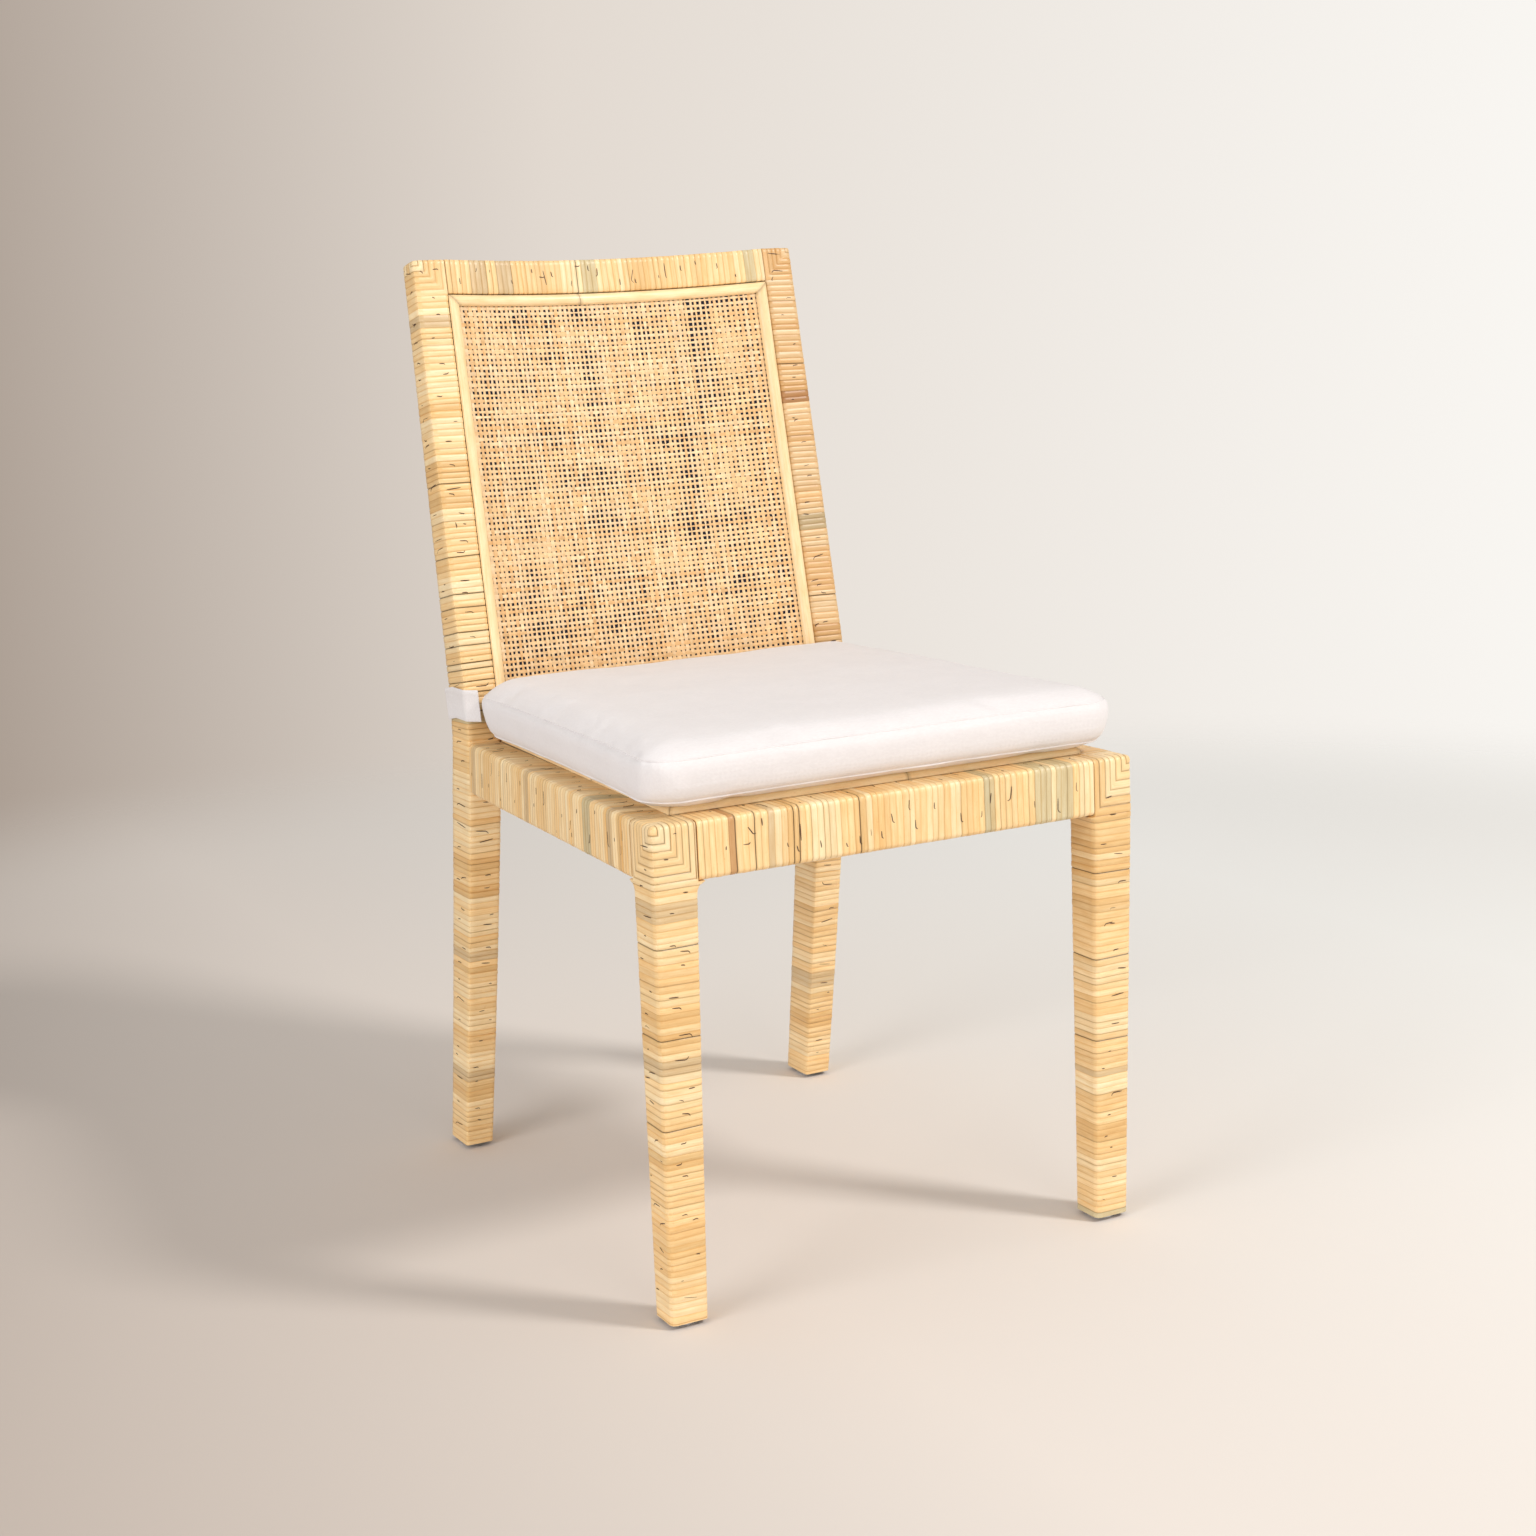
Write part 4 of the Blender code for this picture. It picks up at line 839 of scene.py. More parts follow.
def wrap_object(name, member, strands, block=0.0, slant=0.0, extra_rows=(), fold=False):
    """Replace a wrap node by its strands, laid round the member one beside the other."""
    reach = member.width if block else 0.0
    p_lines = strands.lines(member.width, COLUMN_SHARES)
    q_lines = strands.lines(member.depth / 2 if fold else member.depth, COLUMN_SHARES)
    if fold:
        q_lines = np.concatenate((q_lines, (member.depth - q_lines[::-1])[1:]))
    rows = strands.lines(nested_place(member.length, block, reach), ROW_SHARES)
    r_lines = np.unique(np.concatenate((along_of_nested(rows, block, reach), extra_rows)))
    grid = Grid(p_lines, q_lines, r_lines, bool(block))
    p, q, r = grid.p, grid.q, grid.r
    s, _ = strand_pattern(p, folded(q, member.depth, fold), r, block, reach)
    phase = RNG.uniform(0.0, math.tau)
    moved = slanted(r, p, member.width, member.length, slant)
    inside = fade_in(r - block, EDGE_RADIUS) * fade_in(member.length - r, EDGE_RADIUS)
    moved = moved + wobble(r, p + q, phase) * inside
    places = member.place(p, q, moved, strands.lift(s))
    mesh = bpy.data.meshes.new(name)
    mesh.from_pydata(places.tolist(), [], grid.faces.tolist() + grid.caps)
    colours, fibres = corner_looks(member, strands, grid, block, reach, fold)
    spare = sum(len(cap) for cap in grid.caps)
    set_colours(mesh, "tone", np.concatenate((colours, np.tile(TONES["brown"], (spare, 1)))), "CORNER")
    set_vectors(mesh, "fibre", np.concatenate((fibres, np.zeros((spare, 3)))), "CORNER")
    turn_outward(mesh)
    smooth_under(mesh, WRAP_SMOOTH_DEGREES)
    node = name.replace("strands", "wrap")
    object_of(name, mesh, "frame", MATERIALS["peel"], (node,))


# Features of single strands, as distances from each member's start: tones, then dark seams
LEFT_POST_TONES = ((0.058, 0.064, "grey"), (0.140, 0.144, "amber"), (0.199, 0.205, "amber"),
                   (0.231, 0.235, "amber"), (0.379, 0.385, "honey"))
LEFT_POST_SEAMS = (0.214, 0.287, 0.319, 0.332, 0.356, 0.374, 0.386, 0.392, 0.409, 0.418)
RIGHT_POST_TONES = ((0.146, 0.150, "amber"), (0.153, 0.154, "brown"), (0.276, 0.290, "green"),
                    (0.392, 0.400, "amber"))
RIGHT_POST_SEAMS = (0.118, 0.362)
LEFT_LEG_TONES = ((0.000, 0.003, "tan"), (0.056, 0.066, "grey"), (0.150, 0.154, "amber"))
RIGHT_LEG_TONES = ((0.086, 0.095, "amber"), (0.210, 0.221, "honey"))
LEG_SEAMS = (0.094, 0.173, 0.248)
FRONT_RAIL_TONES = ((0.000, 0.060, "tan"), (0.031, 0.032, "brown"), (0.086, 0.088, "amber"),
                    (0.329, 0.338, "green"), (0.350, 0.362, "green"))
FRONT_RAIL_SEAMS = (0.036, 0.055, 0.088, 0.094, 0.150)
LEFT_RAIL_TONES = ((0.044, 0.050, "grey"), (0.254, 0.260, "grey"))
LEFT_RAIL_SEAMS = (0.319,)
CREST_TONES = ((0.044, 0.046, "grey"), (0.162, 0.170, "green"))
CREST_SEAMS = (0.150,)
# Painted shade: the right post's strands above the seat are made darker and warmer to stand for the shade
# that falls on them.
RIGHT_POST_PAINTED_SHADE_SHARES = np.array((0.78, 0.70, 0.64))
CORNER_SHADE_SHARE = 0.62
CORNER_DEPTH_SHARE = 1.6


LEG_STATIONS = 120
POST_STATIONS = 240
STRAIGHT_STATIONS = 3
SIDE_STATIONS = 9
REAR_RAIL_STATIONS = 21
BOWED_STATIONS = 25


def cross_corners(x, outer, inner, offset=0.0):
    """Section of a rail across the chair: outer top, inner top, outer bottom, inner bottom."""
    return [[(x, FRONT_Y + outer + offset, SEAT_HEIGHT), (x, FRONT_Y + outer + offset, RAIL_BOTTOM)],
            [(x, FRONT_Y + inner + offset, SEAT_HEIGHT), (x, FRONT_Y + inner + offset, RAIL_BOTTOM)]]


def make_front_rail():
    half = FRONT_HALF - LEG_SECTION - FIT
    member = Member(lambda r: cross_corners(r - half, 0.0, RAIL_WIDTH), 2 * half, STRAIGHT_STATIONS,
                    RAIL_WIDTH, RAIL_HEIGHT)
    strands = Strands(2 * half, FRONT_RAIL_TONES, FRONT_RAIL_SEAMS)
    wrap_object("front_rail_strands", member, strands)
    return member


def make_rear_rail():
    half = SEAT_CLEAR_HALF - FIT

    def corners(r):
        return cross_corners(r - half, SEAT_DEPTH + RAIL_WIDTH, SEAT_DEPTH, float(bow((r - half) / half)))

    member = Member(corners, 2 * half, REAR_RAIL_STATIONS, RAIL_WIDTH, RAIL_HEIGHT)
    wrap_object("rear_rail_strands", member, Strands(2 * half))


def side_rail_end(height):
    sweep = rear_leg_front(RAIL_BOTTOM) - SEAT_DEPTH
    return SEAT_DEPTH + sweep * (SEAT_HEIGHT - height) / RAIL_HEIGHT


def make_side_rail(word, side):
    """A side rail from the front leg to the sloping face of the rear post."""
    length = SEAT_DEPTH - LEG_SECTION - 2 * FIT

    def corners(r):
        share = r / length
        outer = FRONT_HALF + (REAR_HALF - FRONT_HALF) * share
        inner = outer - LEG_SECTION - (POST_WIDTH_SEAT - LEG_SECTION) * share
        ends = [LEG_SECTION + FIT + (side_rail_end(z) - LEG_SECTION - 2 * FIT) * share
                for z in (SEAT_HEIGHT, RAIL_BOTTOM)]
        return [[(side * x, FRONT_Y + y, z) for y, z in zip(ends, (SEAT_HEIGHT, RAIL_BOTTOM))]
                for x in (outer, inner)]

    member = Member(corners, length, SIDE_STATIONS, LEG_SECTION, RAIL_HEIGHT)
    tones, seams = (LEFT_RAIL_TONES, LEFT_RAIL_SEAMS) if side < 0 else ((), ())
    wrap_object("side_rail_strands_" + word, member, Strands(length, tones, seams), slant=SLANT)
    return member


def make_back_rail(name, low, high, level_bottom, tones=(), seams=()):
    """The crest rail or the lower back rail, bowed with the back."""
    length = 2 * SEAT_CLEAR_HALF

    def corners(r):
        share = 2.0 * r / length - 1.0
        made = []
        for is_rear in (False, True):
            pair = []
            for along in (high, low):
                behind = (post_depth(along) if is_rear else 0.0) + float(bow(share))
                lift = behind * TAN_RAKE * (high - along) / (high - low) if level_bottom else 0.0
                pair.append(back_point(share * (clear_half(along) - FIT), along + lift, behind))
            made.append(pair)
        return made

    member = Member(corners, length, BOWED_STATIONS, POST_DEPTH_TOP, high - low, POST_RADIUS)
    wrap_object(name, member, Strands(length, tones, seams))
    return member


def make_front_leg(word, side):
    length = SEAT_HEIGHT - FOOT_BOTTOM
    member = Member(lambda r: front_leg_corners(side, r), length, LEG_STATIONS, LEG_SECTION, LEG_SECTION,
                    tight=("p", "q"), tight_length=RAIL_HEIGHT, round_start=True)
    strands = Strands(length, LEFT_LEG_TONES if side < 0 else RIGHT_LEG_TONES, LEG_SEAMS, LEG_SECTION)
    wrap_object("front_leg_strands_" + word, member, strands, RAIL_HEIGHT,
                extra_rows=(RAIL_HEIGHT, RAIL_HEIGHT + FIT))
    return member


def make_rear_post(word, side):
    length = BACK_LENGTH + SEAT_HEIGHT - FOOT_BOTTOM
    member = Member(lambda r: post_corners(side, r), length, POST_STATIONS, POST_WIDTH_TOP, POST_DEPTH_TOP,
                    POST_RADIUS, tight=("p",), tight_length=CREST_HEIGHT, round_start=True)
    tones, seams = (LEFT_POST_TONES, LEFT_POST_SEAMS) if side < 0 else (RIGHT_POST_TONES, RIGHT_POST_SEAMS)
    strands = Strands(length, tones, seams)
    # Painted shade on the right post's strands above the seat.
    if side > 0:
        strands.tones[:strands.index(BACK_LENGTH)] *= RIGHT_POST_PAINTED_SHADE_SHARES
    wrap_object("rear_post_strands_" + word, member, strands, CREST_HEIGHT, fold=True)
    return member


def make_wraps():
    members = {"front_rail": make_front_rail()}
    make_rear_rail()
    members["crest"] = make_back_rail("crest_rail_strands", BACK_LENGTH - CREST_HEIGHT, BACK_LENGTH, False,
                                      CREST_TONES, CREST_SEAMS)
    make_back_rail("lower_back_rail_strands", FIT, LOWER_RAIL_HEIGHT, True)
    for word, side in SIDES:
        members["side_rail_" + word] = make_side_rail(word, side)
        members["leg_" + word] = make_front_leg(word, side)
        members["post_" + word] = make_rear_post(word, side)
    return members


# Tail marks of the peel on each member and face:
# place across, place along, length, turn in degrees, hook in half turns
MARKS = {
    ("post_left", "outer"): ((0.012, 0.176, 0.009, 5, 0.3), (0.010, 0.060, 0.006, 10, 0.4)),
    ("post_left", "front"): ((0.009, 0.226, 0.006, 10, 0.6), (0.012, 0.254, 0.006, 80, 0.3),
                             (0.014, 0.272, 0.009, 4, 0.5), (0.007, 0.011, 0.004, 40, 0.6)),
    ("post_right", "front"): ((0.018, 0.178, 0.005, 15, 0.7), (0.026, 0.390, 0.006, 20, 0.8),
                              (0.020, 0.345, 0.008, 5, 0.2), (0.024, 0.030, 0.005, 60, 0.6)),
    ("front_rail", "outer"): ((0.012, 0.046, 0.010, 35, 0.6), (0.026, 0.041, 0.007, 90, 0.5),
                              (0.034, 0.150, 0.008, 2, 0.5), (0.028, 0.204, 0.009, 4, 0.5),
                              (0.033, 0.171, 0.007, 3, 0.5), (0.016, 0.094, 0.014, 2, 0.0)),
    ("side_rail_left", "outer"): ((0.012, 0.330, 0.006, 6, 0.5), (0.026, 0.140, 0.010, 8, 0.5),
                                  (0.026, 0.020, 0.009, 4, 0.5)),
    ("side_rail_left", "top"): ((0.016, 0.375, 0.011, 10, 0.3), (0.018, 0.300, 0.006, 20, 0.6)),
    ("crest", "outer"): ((0.017, 0.108, 0.006, 80, 0.5), (0.012, 0.122, 0.006, 8, 0.5),
                         (0.007, 0.150, 0.006, 85, 0.5), (0.022, 0.216, 0.005, 5, 0.6),
                         (0.008, 0.250, 0.015, 0, 0.1)),
    ("leg_left", "front"): ((0.022, 0.106, 0.010, 6, 0.5), (0.016, 0.232, 0.005, 15, 0.6)),
    ("leg_left", "outer"): ((0.014, 0.210, 0.012, 4, 0.1),),
    ("leg_right", "front"): ((0.022, 0.150, 0.010, 4, 0.5),),
    ("leg_right", "outer"): ((0.006, 0.062, 0.018, 4, 0.0), (0.006, 0.092, 0.016, 6, 0.0)),
}
MARK_WIDTH = 0.0010
MARK_RISE = 0.00022
MARK_STEPS = 10
MARK_STRAIGHT_SHARE = 0.6
MARK_TIP_SHARE = 0.08
MARK_SPACING = 0.0210
MARK_PLACE_SHARES = (0.1, 0.9)
MARK_LENGTHS = (0.003, 0.004, 0.006, 0.006, 0.009, 0.014)
MARK_CLEAR = 0.0060
MARK_LEAN_DEGREES = 7.0
MARK_HOOKS = (0.0, 0.0, 0.4, 0.5, 0.5, -0.5)
MARK_SMOOTH_DEGREES = 60


def scattered_marks(members):
    """More marks on both seen faces of every wrapped member, mostly along its strands."""
    marks = []
    for name, member in members.items():
        second = "front" if "post" in name or "leg" in name else "top"
        for face, size in ((second, member.width), ("outer", member.depth)):
            for number in range(int(member.length / MARK_SPACING)):
                along = (number + RNG.uniform(*MARK_PLACE_SHARES)) * MARK_SPACING
                length = RNG.choice(MARK_LENGTHS)
                across = RNG.uniform(MARK_CLEAR, max(size - MARK_CLEAR - length, MARK_CLEAR))
                if MARK_CLEAR < along < member.length - MARK_CLEAR:
                    turn, hook = RNG.gauss(0.0, MARK_LEAN_DEGREES), RNG.choice(MARK_HOOKS)
                    marks.append((name, face, across, along, length, turn, hook))
    return marks


def mark_rings(member, face, across, along, length, turn, hook):
    """A thin sliver that lies on a face, hooks round at its end and tapers."""
    rings = []
    a, r = across, along
    for step in range(MARK_STEPS + 1):
        share = step / MARK_STEPS
        taper = math.sin(math.pi * (MARK_TIP_SHARE + (1.0 - 2.0 * MARK_TIP_SHARE) * share))
        width = MARK_WIDTH * math.sqrt(taper) / 2
        bend = max(share - MARK_STRAIGHT_SHARE, 0.0) / (1.0 - MARK_STRAIGHT_SHARE)
        heading = math.radians(turn) + hook * math.pi * bend
        side_a, side_r = -math.sin(heading) * width, math.cos(heading) * width
        ring = []
        for sign, lift in ((-1, 0.0), (0, MARK_RISE), (1, 0.0), (0, -MARK_RISE)):
            across_here, along_here = a + sign * side_a, r + sign * side_r
            p, q = (0.0, across_here) if face == "outer" else (across_here, 0.0)
            ring.append(member.place(p, q, along_here, lift))
        rings.append(ring)
        a += math.cos(heading) * length / MARK_STEPS
        r += math.sin(heading) * length / MARK_STEPS
    return rings


def make_marks(members):
    placed = [(*where, *shape) for where, shapes in MARKS.items() for shape in shapes]
    vertices, faces = [], []
    for name, face, *shape in placed + scattered_marks(members):
        rings = mark_rings(members[name], face, *shape)
        faces += sweep_faces(len(rings), len(rings[0]), offset=len(vertices))
        vertices += [point for ring in rings for point in ring]
    mesh = mesh_of("peel_marks", vertices, faces, MARK_SMOOTH_DEGREES)
    object_of("peel_marks", mesh, "frame", MATERIALS["mark"])


# Woven cane

def patches(columns, rows, phase):
    """A plaid of slow changes over a sheet: stripes both ways and patches between them."""
    fast_i, fast_j = PLAID_FAST_SHARES
    patch_i, patch_j = PATCH_RATE_SHARES

    def value(i, j):
        stripe = noise.noise(Vector((i * fast_i, j * PLAID_SLOW_SHARE, phase)))
        cross = noise.noise(Vector((i * PLAID_SLOW_SHARE, j * fast_j, phase + CROSS_PHASE)))
        patch = noise.noise(Vector((i * patch_i, j * patch_j, phase + PATCH_PHASE)))
        return STRIPE_WEIGHT_SHARE * (stripe + cross) + PATCH_WEIGHT_SHARE * patch
    return np.array([[value(i, j) for j in range(rows)] for i in range(columns)])


def ribbon_tones(count, along_count):
    """Tone of each ribbon at each crossing."""
    chosen = [RIBBON_TONES[RNG.choice(RIBBON_PICKS)] * (1.0 + RNG.gauss(0.0, RIBBON_TONE_SHARE))
              for _ in range(count)]
    ripple = np.array([[1.0 + RNG.gauss(0.0, RIBBON_RIPPLE_SHARE) for _ in range(along_count)]
                       for _ in range(count)])
    return np.array(chosen)[:, None, :] * ripple[:, :, None]


def ribbon_mesh_data(centres, sides, normals, widths, tones, offset):
    """Flat ribbons through crossing places: a ring of four points at each."""
    ribbons, stops = centres.shape[:2]
    half = sides * (widths / 2)[..., None]
    thick = normals * (RIBBON_THICKNESS / 2)
    ring = np.stack((centres - half - thick, centres + half - thick, centres + half + thick,
                     centres - half + thick), axis=2)
    faces = []
    for ribbon in range(ribbons):
        faces += sweep_faces(stops, 4, offset=offset + ribbon * stops * 4)
    colours = np.repeat(tones[:, :, None, :], 4, axis=2)
    number = np.broadcast_to(np.arange(ribbons)[:, None, None] * FIBRE_STEP_SHARE, ring.shape[:3])
    across = np.broadcast_to(np.array((-1, 1, 1, -1)) * WEAVE_PITCH_ACROSS / 2, ring.shape[:3])
    along = np.broadcast_to(np.arange(stops)[None, :, None] * WEAVE_PITCH_ALONG, ring.shape[:3])
    fibres = np.stack((across, along, number), axis=-1)
    return ring.reshape(-1, 3), faces, colours.reshape(-1, 3), fibres.reshape(-1, 3)


def make_weave(name, node, middle_of, outward):
    """A close woven sheet, ribbon over and under ribbon, bowed with the back."""
    half = clear_half(PANEL_BOTTOM)
    columns = int(2 * half / WEAVE_PITCH_ACROSS)
    rows = int((PANEL_TOP - PANEL_BOTTOM) / WEAVE_PITCH_ALONG)
    shares = (2.0 * (np.arange(columns) + 0.5) / columns - 1.0) * (1.0 - 2 * FIT / half)
    alongs = PANEL_BOTTOM + (PANEL_TOP - PANEL_BOTTOM) * (np.arange(rows) + 0.5) / rows
    shares = shares + np.array([RNG.gauss(0.0, COLUMN_WANDER_SHARE) for _ in range(columns)])
    alongs = alongs + np.array([RNG.gauss(0.0, ROW_WANDER) for _ in range(rows)])
    over = np.where((np.arange(columns)[:, None] + np.arange(rows)[None, :]) % 2, 1.0, -1.0) * WEAVE_RISE
    loose = RIBBON_CHANGE_SHARE * patches(columns, rows, PLAID_PHASES[outward])
    jitter = np.array([[RNG.gauss(0.0, RIBBON_JITTER_SHARE) for _ in range(rows)] for _ in range(columns)])
    widths = RIBBON_SHARE + loose + jitter
    share_grid, along_grid = np.meshgrid(shares, alongs, indexing="ij")
    depth = middle_of(along_grid)
    normal = np.array((0.0, COS_RAKE, -SIN_RAKE)) * outward
    vertical = bowed_point(share_grid, along_grid, depth + outward * over)
    flat_side = (bowed_point(share_grid + SLOPE_STEP_SHARE, along_grid, depth)
                 - bowed_point(share_grid, along_grid, depth))
    flat_side /= np.linalg.norm(flat_side, axis=-1, keepdims=True)
    first = ribbon_mesh_data(vertical, flat_side, normal, widths * WEAVE_PITCH_ACROSS,
                             ribbon_tones(columns, rows), 0)
    crosswise = np.swapaxes(bowed_point(share_grid, along_grid, depth - outward * over), 0, 1)
    up = np.array((0.0, SIN_RAKE, COS_RAKE)) * np.ones_like(crosswise)
    second = ribbon_mesh_data(crosswise, up, normal, widths.T * WEAVE_PITCH_ALONG,
                              ribbon_tones(rows, columns), len(first[0]))
    mesh = bpy.data.meshes.new(name)
    mesh.from_pydata(np.concatenate((first[0], second[0])).tolist(), [], first[1] + second[1])
    set_colours(mesh, "tone", np.concatenate((first[2], second[2])))
    set_vectors(mesh, "fibre", np.concatenate((first[3], second[3])))
    turn_outward(mesh)
    object_of(name, mesh, "frame", MATERIALS["cane"], (node,))


# Mouldings

ROUND_STEPS = 12
MOULDING_STEP = 0.0040
BUTT_GAP = 0.0005
PIECE_TONE_SHARE = 0.03
MOULDING_SWELL_SHARE = 0.025
MOULDING_SWELL_RATE = 40.0
MOULDING_TINT_SHARE = 0.30
MOULDING_TINT_RATE = 18.0
MOULDING_TINT_PHASE = 5.0
MOULDING_END_SHARE = 0.72
MOULDING_FIBRE_STEP = 0.0012
MOULDING_SMOOTH_DEGREES = 50
PHASE_RANGE = 50.0
SEAT_BREAK_SHARES = {"front": (0.56,), "rear": (), "left": (0.42,), "right": (0.42,)}
FRONT_BREAK_SHARES = {"top": (0.42,)}
REAR_BREAK_SHARES = {"top": (0.60,), "left": (0.5,)}


def half_round(width, rise):
    """Section of a moulding, as distances across it and above its bed."""
    angles = [math.pi * step / ROUND_STEPS for step in range(ROUND_STEPS + 1)]
    return [(width * (1.0 - math.cos(angle)) / 2, rise * math.sin(angle)) for angle in angles]


def moulding_object(name, place_of, section, length, breaks=()):
    """A half-round sweep, cut into butted lengths at the breaks, with slow changes of tone."""
    vertices, faces, colours, fibres = [], [], [], []
    edges = [0.0] + sorted(breaks) + [1.0]
    phase = RNG.uniform(0.0, PHASE_RANGE)
    for low, high in zip(edges, edges[1:]):
        start = low + (BUTT_GAP / 2 / length if low > 0.0 else 0.0)
        end = high - (BUTT_GAP / 2 / length if high < 1.0 else 0.0)
        steps = max(int((end - start) * length / MOULDING_STEP), 2)
        faces += sweep_faces(steps + 1, len(section), offset=len(vertices))
        piece = 1.0 + RNG.gauss(0.0, PIECE_TONE_SHARE)
        for step in range(steps + 1):
            share = start + (end - start) * step / steps
            run = share * length
            swell = 1.0 + MOULDING_SWELL_SHARE * noise.noise(Vector((run * MOULDING_SWELL_RATE, phase, 0.0)))
            change = noise.noise(Vector((run * MOULDING_TINT_RATE, phase, MOULDING_TINT_PHASE)))
            tint = (0.5 + 0.5 * change) * MOULDING_TINT_SHARE
            tone = (TONES["straw"] * (1.0 - tint) + TONES["honey"] * tint) * piece
            dark_end = MOULDING_END_SHARE if step in (0, steps) else 1.0
            for index, (across, rise) in enumerate(section):
                vertices.append(place_of(share, across, rise * swell))
                colours.append(tone * dark_end)
                fibres.append((index * MOULDING_FIBRE_STEP, run, phase))
    mesh = mesh_of(name, vertices, faces, MOULDING_SMOOTH_DEGREES)
    set_colours(mesh, "tone", np.array(colours))
    set_vectors(mesh, "fibre", np.array(fibres))
    node = name.replace("half_round", "moulding")
    object_of(name, mesh, "frame", MATERIALS["core"], (node,))


def make_back_mouldings(face, surface, outward, breaks):
    """The mouldings round one sheet of the back, which follow its bow."""
    section = half_round(MOULDING_WIDTH, MOULDING_RISE)
    low, high = PANEL_BOTTOM + FIT, PANEL_TOP - FIT
    for word, edge, inward in (("top", high, -1), ("bottom", low, 1)):
        def place_of(share, across, rise, edge=edge, inward=inward):
            along = edge + inward * across
            half = clear_half(along) - FIT / 2 - across
            x_share = (2.0 * share - 1.0) * half / clear_half(along)
            return bowed_point(x_share, along, surface(along) + outward * rise)
        name = f"{face}_half_round_{word}"
        moulding_object(name, place_of, section, 2 * SEAT_CLEAR_HALF, breaks.get(word, ()))
    for word, side in SIDES:
        def place_of(share, across, rise, side=side):
            along = low + across + FIT + (high - low - 2 * across - 2 * FIT) * share
            x_share = side * (1.0 - (FIT / 2 + across) / clear_half(along))
            return bowed_point(x_share, along, surface(along) + outward * rise)
        moulding_object(f"{face}_half_round_{word}", place_of, section, high - low, breaks.get(word, ()))


def seat_half_width(depth):
    run = max(depth - LEG_SECTION, 0.0) / (SEAT_DEPTH - LEG_SECTION)
    return FRONT_HALF + (REAR_HALF - FRONT_HALF) * run


def seat_rear_line(x):
    return BACK_LINE - 2 * FIT + float(bow(min(abs(x) / SEAT_CLEAR_HALF, 1.0)))


def seat_corner(across, at_rear):
    if at_rear:
        half = seat_half_width(BACK_LINE) - SEAT_MOULDING_SETBACK - across
        return half, seat_rear_line(half) - across
    depth = SEAT_MOULDING_SETBACK + across
    return seat_half_width(depth) - SEAT_MOULDING_SETBACK - across, depth


def make_seat_mouldings():
    """The mouldings round the seat's cane, the rear one bowed with the back."""
    section = half_round(MOULDING_WIDTH, SEAT_MOULDING_RISE)
    base = SEAT_HEIGHT + FIT
    for word, at_rear in (("front", False), ("rear", True)):
        def place_of(share, across, rise, at_rear=at_rear):
            half, depth = seat_corner(across, at_rear)
            x = (2.0 * share - 1.0) * (half - FIT)
            if at_rear:
                depth = seat_rear_line(x) - across
            return x, FRONT_Y + depth, base + rise
        moulding_object("seat_half_round_" + word, place_of, section, 2 * FRONT_HALF, SEAT_BREAK_SHARES[word])
    for word, side in SIDES:
        def place_of(share, across, rise, side=side):
            (front_half, front), (rear_half, rear) = seat_corner(across, False), seat_corner(across, True)
            half = front_half + (rear_half - front_half) * share
            depth = front + FIT + (rear - front - 2 * FIT) * share
            return side * half, FRONT_Y + depth, base + rise
        moulding_object("seat_half_round_" + word, place_of, section, SEAT_DEPTH, SEAT_BREAK_SHARES[word])


# Cushion

CUSHION_WIDTH_FRONT = 0.4660
CUSHION_WIDTH_REAR = 0.4210
CUSHION_FRONT_SETBACK = 0.0030
CUSHION_BACK_GAP = 0.0006
CUSHION_CORNER = 0.0300
CUSHION_DRAW_IN = 0.0030
CUSHION_BULGE = 0.0012
CUSHION_BASE = SEAT_HEIGHT + 2 * FIT + SEAT_MOULDING_RISE
LOW_SEAM_RISE = 0.0065
BOXING_HEIGHT = 0.0347
HIGH_SEAM = CUSHION_BASE + LOW_SEAM_RISE + BOXING_HEIGHT
CROWN_EDGE_RISE = 0.0165
FRONT_CROWN_SHARE = 0.70
CROWN_EDGE_WIDTH = 0.0420
CROWN_EDGE_POWER = 2.0
CROWN_DOME = 0.0025
UNDERCUT = 0.0175
UNDERCUT_HEIGHT = 0.0250
UNDERCUT_TOP = CUSHION_BASE + UNDERCUT_HEIGHT
LOW_RIDGE = CUSHION_BASE + UNDERCUT / 3
UNDERCUT_ROUNDING_SHARE = 1.2
SIDE_UNDERCUT_SHARE = 0.45
LEAST_CORNER = 0.0040
OUTLINE_STEP = 0.0060
PAD_INSET = 0.0020
PAD_VOXEL = 0.0050
PAD_PRESSURE = 3.0
PAD_FRAMES = 20
PAD_CAP = 0.0035
PAD_QUALITY = 6
PAD_TENSION = 25.0
PAD_BENDING = 0.3
PAD_AROUND = 300
PAD_SMOOTH_DEGREES = 80
CORNER_LEAST_STEPS = 3
BASE_SHARES = (0.12, 0.45, 0.75, 0.93)
UNDERCUT_DEGREES = (0, 22, 45, 67, 90)
CROWN_EDGE_STEPS = 8
CROWN_EDGE_LAST = 6
CROWN_STEP_POWER = 1.4
TOP_SHARES = (0.9, 0.7, 0.45, 0.12)
TOP_BLEND_SHARE = 0.1


def cushion_rear(height):
    """How far back the cushion reaches, just clear of the raked back and its moulding."""
    standing_proud = (MOULDING_RISE - CANE_RECESS + FIT) / COS_RAKE
    return BACK_LINE + (height - SEAT_HEIGHT) * TAN_RAKE - standing_proud - CUSHION_BACK_GAP


def corner_arc(x, y, radius, start):
    """A quarter circle round a corner's middle."""
    steps = max(int(0.5 * math.pi * radius / OUTLINE_STEP), CORNER_LEAST_STEPS)
    angles = [start + 0.5 * math.pi * step / steps for step in range(steps + 1)]
    return [(x + radius * math.cos(angle), y + radius * math.sin(angle)) for angle in angles]


